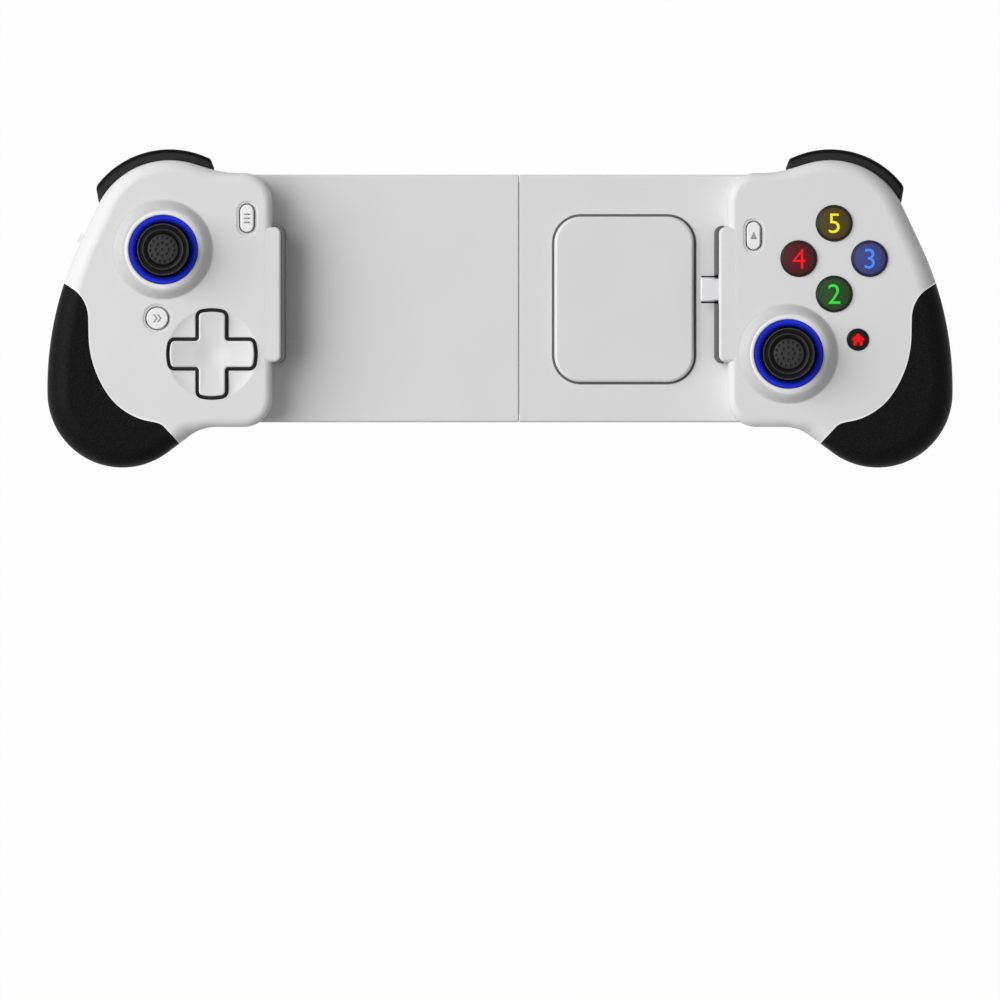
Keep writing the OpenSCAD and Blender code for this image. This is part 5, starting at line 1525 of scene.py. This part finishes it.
class GAMEPAD_OT_cross_pad(bpy.types.Operator):
    """Cross pad with a hollowed top, on a dark carrier"""
    bl_idname = "gamepad.cross_pad"
    bl_label = "Cross Pad"

    def execute(self, context):
        piece = shape(self.top(), "cross_pad_skin")
        finish(piece, shell_white(), "cross_pad", ["cross_pad"], "left", sharp=60)
        carrier = shape(self.carrier(), "cross_pad_carrier")
        finish(carrier, inner_black(), "cross_pad", (), "left")
        return {"FINISHED"}

    def top(self):
        """Cross with a rolled edge and a bowl that runs out at the arm ends."""
        place = handle_point(CROSS_AT)
        foot, top, sink, reach, soft = FLANGE_Z - 0.4, FACE_Z + 1.4, 1.6, 12.7, 0.5
        dimple, dimple_r, count = 0.5, 6.4, 32

        def inner(inset):
            """Points of the cross, moved inward."""
            return [arc_point(arc, t, inset) for _, t, arc in cross_outline()]

        def hollowed(points, drop):
            """Ring of points on the bowl, or a little under it."""
            ring = []
            for p in points:
                bowl = sink * (1 - min(p.length / reach, 1) ** 2)
                bowl += dimple * (1 - smooth_step(p.length / dimple_r))
                ring.append((*(place + p), top - bowl - drop))
            return ring

        rings = [[(*(place + p), foot) for p in inner(0)]]
        rings += [hollowed(inner(inset), drop) for inset, drop in roll(soft, steps=6)]
        rings += [hollowed([p * (1 - i / count) for p in inner(soft)], 0) for i in range(1, count)]
        return skin(rings)

    def carrier(self):
        """Disc under the shell with four feet and a socket for the ball."""
        flange_r, flange_z, flange_top = 14.0, 28.6, 29.8
        socket_r, hub_r, hub_z = 1.9, 3.2, 26.4
        leg_at, leg_r, leg_z, leg_steps = 9.5, 1.6, 26.5, 24
        place = handle_point(CROSS_AT)
        disc = cylinder(flange_r, flange_z, flange_top, place)
        hub = tube(socket_r, hub_r, hub_z, flange_z, place, steps=LATHE_STEPS)
        legs = [cylinder(leg_r, leg_z, flange_z, spot, leg_steps) for spot in around(place, leg_at, 4)]
        return put_together(disc, hub, *legs)


class GAMEPAD_OT_shoulder_controls(bpy.types.Operator):
    """Bumpers, triggers and the side switch"""
    bl_idname = "gamepad.shoulder_controls"
    bl_label = "Shoulder Controls"

    def execute(self, context):
        for side in SIDES:
            piece = shape(self.bumper(), f"{side}_bumper_skin")
            finish(piece, bumper_black(side), f"{side}_bumper", [f"{side}_bumper"], side)
            piece = shape(self.trigger(), f"{side}_trigger_skin")
            finish(piece, trigger_black(), f"{side}_trigger", [f"{side}_trigger"], side)
        piece = shape(self.switch(), "side_switch_skin")
        soften(piece)
        finish(piece, shell_white(), "side_switch", ["side_switch"], "left")
        return {"FINISHED"}

    def rolled(self, edge, low, high):
        """Layers between two ends, both with a rolled edge."""
        layers = [(inset, low + rise) for inset, rise in edge]
        return layers + [(inset, high - rise) for inset, rise in reversed(edge)]

    def bumper(self):
        """Band around the shoulder with rolled edges, and its hub."""
        pivot_r, pivot_angle, post_r, hub_r, clear = 21.503, math.radians(117), 1.6, 2.9, 0.3
        stations = outline(BUMPER_CORNERS, BUMPER_RADII, BUMPER_STEPS)
        layers = self.rolled(BUMPER_ROLL, BUMPER_Z, BUMPER_TOP)
        band = layered(moved_outline(stations, handle_point(SHOULDER_CENTRE)), layers)
        pivot = handle_point(SHOULDER_CENTRE + polar(pivot_r, pivot_angle))
        return put_together(band, tube(post_r, hub_r, BUMPER_Z + clear, BUMPER_TOP - clear, pivot))

    def trigger(self):
        """Curved paddle with two hubs and their webs."""
        web = 1.4
        low, high = (INNER_X + x for x in TRIGGER_X)
        parts = [along_x(self.paddle(), self.rolled(PADDLE_ROLL, low, high), PADDLE_CENTRE)]
        hub = rounded_box((2 * TRIGGER_HUB_R, 2 * TRIGGER_HUB_R), TRIGGER_HUB_R - NEARLY)
        reach = PADDLE_CENTRE.x + PADDLE_R - PADDLE_T / 2
        for x in (low, high - TRIGGER_HUB_W):
            parts.append(along_x(hub, [(0, x), (0, x + TRIGGER_HUB_W)], TRIGGER_PIN))
            parts.append(block((x + HAIR, TRIGGER_PIN.x, TRIGGER_PIN.y - web),
                               (x + TRIGGER_HUB_W - HAIR, reach, TRIGGER_PIN.y + web)))
        return put_together(*parts)

    def paddle(self):
        """Outline of a paddle in Y and Z: a curved band with rounded ends."""
        inner, spare, soft = PADDLE_R - PADDLE_T, math.radians(6), 1.2
        start, end = (math.radians(a) for a in PADDLE_ANGLES)
        middle, half = (start + end) / 2, (end - start) / 2 - spare
        stretch = 1 / math.cos(spare)
        corners = [polar(inner * stretch, start), polar(PADDLE_R * stretch, start),
                   polar(PADDLE_R / math.cos(half), middle), polar(PADDLE_R * stretch, end),
                   polar(inner * stretch, end), polar(inner / math.cos(half), middle)]
        radii = [soft, soft, PADDLE_R, soft, soft, inner]
        return outline(corners, radii, steps=[6, 6, 24, 6, 6, 24])

    def switch(self):
        """Nub outside the flank and a plate behind it."""
        proud, nub, plate, back, half = 1.3, Vector((1.4, 0.9)), Vector((3.2, 2.1)), 3.05, 0.6
        parts = [block((-back, *-nub), (proud, *nub)), block((-back - half, *-plate), (-back + half, *plate))]
        return turned(put_together(*parts), switch_frame())


class GAMEPAD_OT_plug(bpy.types.Operator):
    """Plug of the right jaw"""
    bl_idname = "gamepad.plug"
    bl_label = "Plug"

    def execute(self, context):
        tip, tail = INNER_X - JAW_DEPTH - CUSHION_T - PLUG_REACH, INNER_X + PLUG_TAIL
        wall, mouth = 0.35, tip + 0.12
        outer = [(0, tail), (0, tip + 0.35), (0.06, tip + 0.15), (0.14, tip + 0.03), (0.2, tip)]
        shell = along_x(plug_outline(0), outer + [(wall, mouth), (wall, tail)], (PLUG_Y, PLUG_Z))
        finish(shape(shell, "usb_plug_skin"), plug_steel(), "right_half", ["usb_plug"])
        return {"FINISHED"}


class GAMEPAD_OT_slide_parts(bpy.types.Operator):
    """Ribbon cable and return spring, which run out with the slide"""
    bl_idname = "gamepad.slide_parts"
    bl_label = "Slide Parts"

    def execute(self, context):
        piece = shape(self.cable(), "ribbon_cable_skin")
        finish(piece, cable_film(), self.run_out(CABLE_X, -CABLE_X), ["ribbon_cable"])
        piece = shape(self.spring(), "return_spring_skin")
        clear = SPRING_AT.x - 2 * SPRING_R
        finish(piece, steel(), self.run_out(clear, SPRING_END_X), ["return_spring"])
        return {"FINISHED"}

    def run_out(self, start, end):
        """Both halves, and the places between which a piece stretches from one to the other."""
        return "right_half", "left_half", (start * MM, 0, 0), (end * MM, 0, 0)

    def ribbon(self, path, thick, low, high):
        """Flat strip along a path in X and Y, standing between two heights."""
        rings = []
        last = len(path) - 1
        for i, point in enumerate(path):
            along = (path[min(i + 1, last)] - path[max(i - 1, 0)]).normalized()
            side = Vector((-along.y, along.x)) * thick / 2
            rings.append([(*(point + side), low), (*(point + side), high),
                          (*(point - side), high), (*(point - side), low)])
        return skin(rings)

    def cable(self):
        """Flat cable that rises to a board at each end and lies folded twice between them."""
        steps = 8

        def bend(x, z, radius, first, last):
            """Points of an arc in X and Z, angles in degrees."""
            angles = [math.radians(blend(first, last, i / steps)) for i in range(steps + 1)]
            return [Vector((x, z)) + polar(radius, a) for a in angles]

        fold, top = CABLE_FOLD_R, CABLE_LOW + 4 * CABLE_FOLD_R
        path = [Vector((-CABLE_X, CABLE_END_Z))]
        path += bend(CABLE_BEND_R - CABLE_X, top + CABLE_BEND_R, CABLE_BEND_R, 180, 270)
        path += bend(CABLE_FOLDS[1], top - fold, fold, 90, -90)
        path += bend(CABLE_FOLDS[0], CABLE_LOW + fold, fold, 90, 270)
        path += bend(CABLE_X - CABLE_BEND_R, CABLE_LOW + CABLE_BEND_R, CABLE_BEND_R, 270, 360)
        path.append(Vector((CABLE_X, CABLE_END_Z)))
        strip = self.ribbon(path, CABLE_T, -CABLE_Y - CABLE_W / 2, -CABLE_Y + CABLE_W / 2)
        return turned(strip, Matrix.Rotation(math.pi / 2, 4, "X"))

    def spring(self):
        """Steel ribbon wound on the spool, with its free end in the left box."""
        steps, tail_steps = 24, 12
        path = []
        for i in range(round(steps * SPRING_TURNS) + 1):
            turn = i / steps
            path.append(SPRING_AT + polar(SPRING_R + SPRING_T / 2 + SPRING_PITCH * turn, 2 * math.pi * turn))
        end = Vector((SPRING_END_X, path[-1].y))
        path += [path[-1].lerp(end, i / tail_steps) for i in range(1, tail_steps + 1)]
        return self.ribbon(path, SPRING_T, SPRING_Z, SPRING_TOP)


class GAMEPAD_OT_screws(bpy.types.Operator):
    """Screws with cross recesses in their heads"""
    bl_idname = "gamepad.screws"
    bl_label = "Screws"

    def execute(self, context):
        for side in SIDES:
            places = [(handle_point(p), SHELL_SCREW) for p in SHELL_POSTS]
            places += [(handle_point(p), BRIDGE_SCREW) for p in BRIDGE_POSTS]
            piece = self.row(places, f"{side}_screws_skin")
            finish(piece, steel(), body_of_side(side), [f"{side}_screws"], side)
        piece = self.row([(p, STOP_SCREW) for p in STOP_PLACES], "stop_screws_skin")
        finish(piece, steel(), "left_half", ["stop_screws"])
        return {"FINISHED"}

    def row(self, places, name):
        """Screws at several places."""
        screws = []
        recesses = []
        for place, (head, seat, tip) in places:
            rim = [(SCREW_HEAD_R - inset, head + drop) for inset, drop in reversed(roll(SCREW_SOFT))]
            profile = [(0, head)] + rim + [(SCREW_HEAD_R, seat), (SCREW_R, seat), (SCREW_R, tip), (0, tip)]
            screws.append(lathe(profile, place, steps=FINE_STEPS))
            recesses.append(self.recess(place, head))
        piece = shape(put_together(*screws), name)
        combine(piece, put_together(*recesses), "DIFFERENCE")
        return piece

    def recess(self, place, head):
        """Cutter for the cross in a head."""
        arm, half, depth = 1.4, 0.34, 0.8
        corners = four_ways([(arm, -half), (arm, half), (half, half)])
        sharp = [0] * len(corners)
        stations = moved_outline(outline(corners, sharp, sharp), place)
        return layered(stations, [(0, head - PAST), (0, head + depth)])


class GAMEPAD_OT_inner_parts(bpy.types.Operator):
    """Finishes of the CAD nodes that stay as they are"""
    bl_idname = "gamepad.inner_parts"
    bl_label = "Inner Parts"

    def execute(self, context):
        by_slot = {
            "plate_white": plate_white, "shell_white": shell_white, "steel": steel,
            "board_green": board_green, "contact_rubber": contact_rubber, "cable_black": cable_film,
            "black_plastic": inner_black, "stick_rubber": stick_black, "cushion_rubber": cushion_rubber,
            "grip_black": grip_black, "gloss_black": gloss_black, "tray_grey": tray_grey,
        }
        for part in frame["record"]["subparts"]:
            node = frame["nodes"][part["node"]]
            node.data.materials.clear()
            node.data.materials.append(by_slot.get(part["material_slot"], inner_black)())
        return {"FINISHED"}


def showing_rays(tree):
    """Value of 1 for the rays that show the surroundings: straight, in gloss or through something clear."""
    rays = add_node(tree, "LightPath").outputs
    shown = rays["Is Camera Ray"]
    for name in ("Is Glossy Ray", "Is Transmission Ray"):
        shown = add_node(tree, "Math", {0: shown, 1: rays[name]}, operation="MAXIMUM").outputs["Value"]
    return shown


class GAMEPAD_OT_stage(bpy.types.Operator):
    """Floor, soft light from the left, and a camera that looks straight down"""
    bl_idname = "gamepad.stage"
    bl_label = "Stage"

    def execute(self, context):
        scene = context.scene
        scene.view_settings.view_transform = "Standard"
        self.floor()
        self.world(scene)
        self.lamp("key", KEY_PLACE, KEY_SIZE, KEY_POWER)
        self.camera(scene)
        return {"FINISHED"}

    def floor(self):
        """Pale floor: bright to the camera, and still shaded by the object."""
        mottle_spacing = 0.4
        bm = bmesh.new()
        bmesh.ops.create_grid(bm, x_segments=1, y_segments=1, size=sizes().floor_size / 2)
        piece = shape(bm, "floor")
        pale = Finish("floor_white")
        pale.mottle(pale.noise(mottle_spacing), colours().floor, spread=0.01)
        pale.set(roughness=0.9, specular_ior_level=0)
        glow = add_node(pale.tree, "Emission", {"Color": WHITE})
        share = add_node(pale.tree, "Math", {0: showing_rays(pale.tree), 1: FLOOR_GLOW}, operation="MULTIPLY")
        mix = add_node(pale.tree, "MixShader", {
            "Fac": share.outputs["Value"], 1: pale.surface.outputs["BSDF"], 2: glow.outputs["Emission"]})
        output = pale.tree.nodes["Material Output"]
        pale.tree.links.new(mix.outputs["Shader"], output.inputs["Surface"])
        piece.data.materials.append(pale.material)

    def world(self, scene):
        """Even pale surroundings, white where the camera sees them."""
        world = bpy.data.worlds.new("studio")
        world.use_nodes = True
        scene.world = world
        tree = world.node_tree
        sky = tree.nodes["Background"].inputs
        sky["Color"].default_value = WHITE
        span = add_node(tree, "MapRange", {"Value": showing_rays(tree), "To Min": SKY_LIGHT, "To Max": 1})
        tree.links.new(span.outputs["Result"], sky["Strength"])

    def lamp(self, name, place, size, power):
        """Soft square lamp that faces the middle of the object."""
        data = bpy.data.lights.new(name, "AREA")
        data.shape = "SQUARE"
        data.size = size
        data.energy = power
        lamp = bpy.data.objects.new(name, data)
        bpy.context.scene.collection.objects.link(lamp)
        lamp.location = place
        lamp.rotation_euler = (-Vector(place)).to_track_quat("-Z", "Y").to_euler()

    def camera(self, scene):
        """Long lens straight above, aimed below the object as in the photograph."""
        frame_width, sensor, distance, aim_y, clip = 0.300, 36.0, 10.0, -0.0574, 50
        data = bpy.data.cameras.new("camera")
        data.sensor_width = sensor
        data.sensor_fit = "HORIZONTAL"
        data.lens = sensor * distance / frame_width
        data.clip_end = clip
        camera = bpy.data.objects.new("camera", data)
        scene.collection.objects.link(camera)
        camera.location = (0, aim_y, FACE_Z * MM + distance)
        scene.camera = camera


class GAMEPAD_PT_panel(bpy.types.Panel):
    """Lists the gamepad's operators"""
    bl_idname = "GAMEPAD_PT_panel"
    bl_label = "Gamepad"
    bl_space_type = "VIEW_3D"
    bl_region_type = "UI"
    bl_category = "Gamepad"

    def draw(self, context):
        for group in (context.scene.gamepad_sizes, context.scene.gamepad_colours):
            for name in group.__annotations__:
                self.layout.prop(group, name)
        for operator in OPERATORS:
            self.layout.operator(operator.bl_idname)


OPERATORS = (
    GAMEPAD_OT_inner_parts,
    GAMEPAD_OT_front_shells,
    GAMEPAD_OT_rear_shells,
    GAMEPAD_OT_grips,
    GAMEPAD_OT_bridge,
    GAMEPAD_OT_jaw_cushions,
    GAMEPAD_OT_sticks,
    GAMEPAD_OT_face_buttons,
    GAMEPAD_OT_small_buttons,
    GAMEPAD_OT_cross_pad,
    GAMEPAD_OT_shoulder_controls,
    GAMEPAD_OT_plug,
    GAMEPAD_OT_slide_parts,
    GAMEPAD_OT_screws,
    GAMEPAD_OT_stage,
)
CLASSES = (GamepadSizes, GamepadColours, *OPERATORS, GAMEPAD_PT_panel)


def register():
    """Adds the classes and their settings."""
    for item in CLASSES:
        bpy.utils.register_class(item)
    bpy.types.Scene.gamepad_sizes = bpy.props.PointerProperty(type=GamepadSizes)
    bpy.types.Scene.gamepad_colours = bpy.props.PointerProperty(type=GamepadColours)


def unregister():
    """Removes the settings and the classes."""
    del bpy.types.Scene.gamepad_colours
    del bpy.types.Scene.gamepad_sizes
    for item in reversed(CLASSES):
        bpy.utils.unregister_class(item)


def main():
    """Builds the whole scene."""
    register()
    bpy.ops.gamepad.inner_parts()
    bpy.ops.gamepad.front_shells()
    bpy.ops.gamepad.rear_shells()
    bpy.ops.gamepad.grips()
    bpy.ops.gamepad.bridge()
    bpy.ops.gamepad.jaw_cushions()
    bpy.ops.gamepad.sticks()
    bpy.ops.gamepad.face_buttons()
    bpy.ops.gamepad.small_buttons()
    bpy.ops.gamepad.cross_pad()
    bpy.ops.gamepad.shoulder_controls()
    bpy.ops.gamepad.plug()
    bpy.ops.gamepad.slide_parts()
    bpy.ops.gamepad.screws()
    bpy.ops.gamepad.stage()


if __name__ == "__main__":
    main()
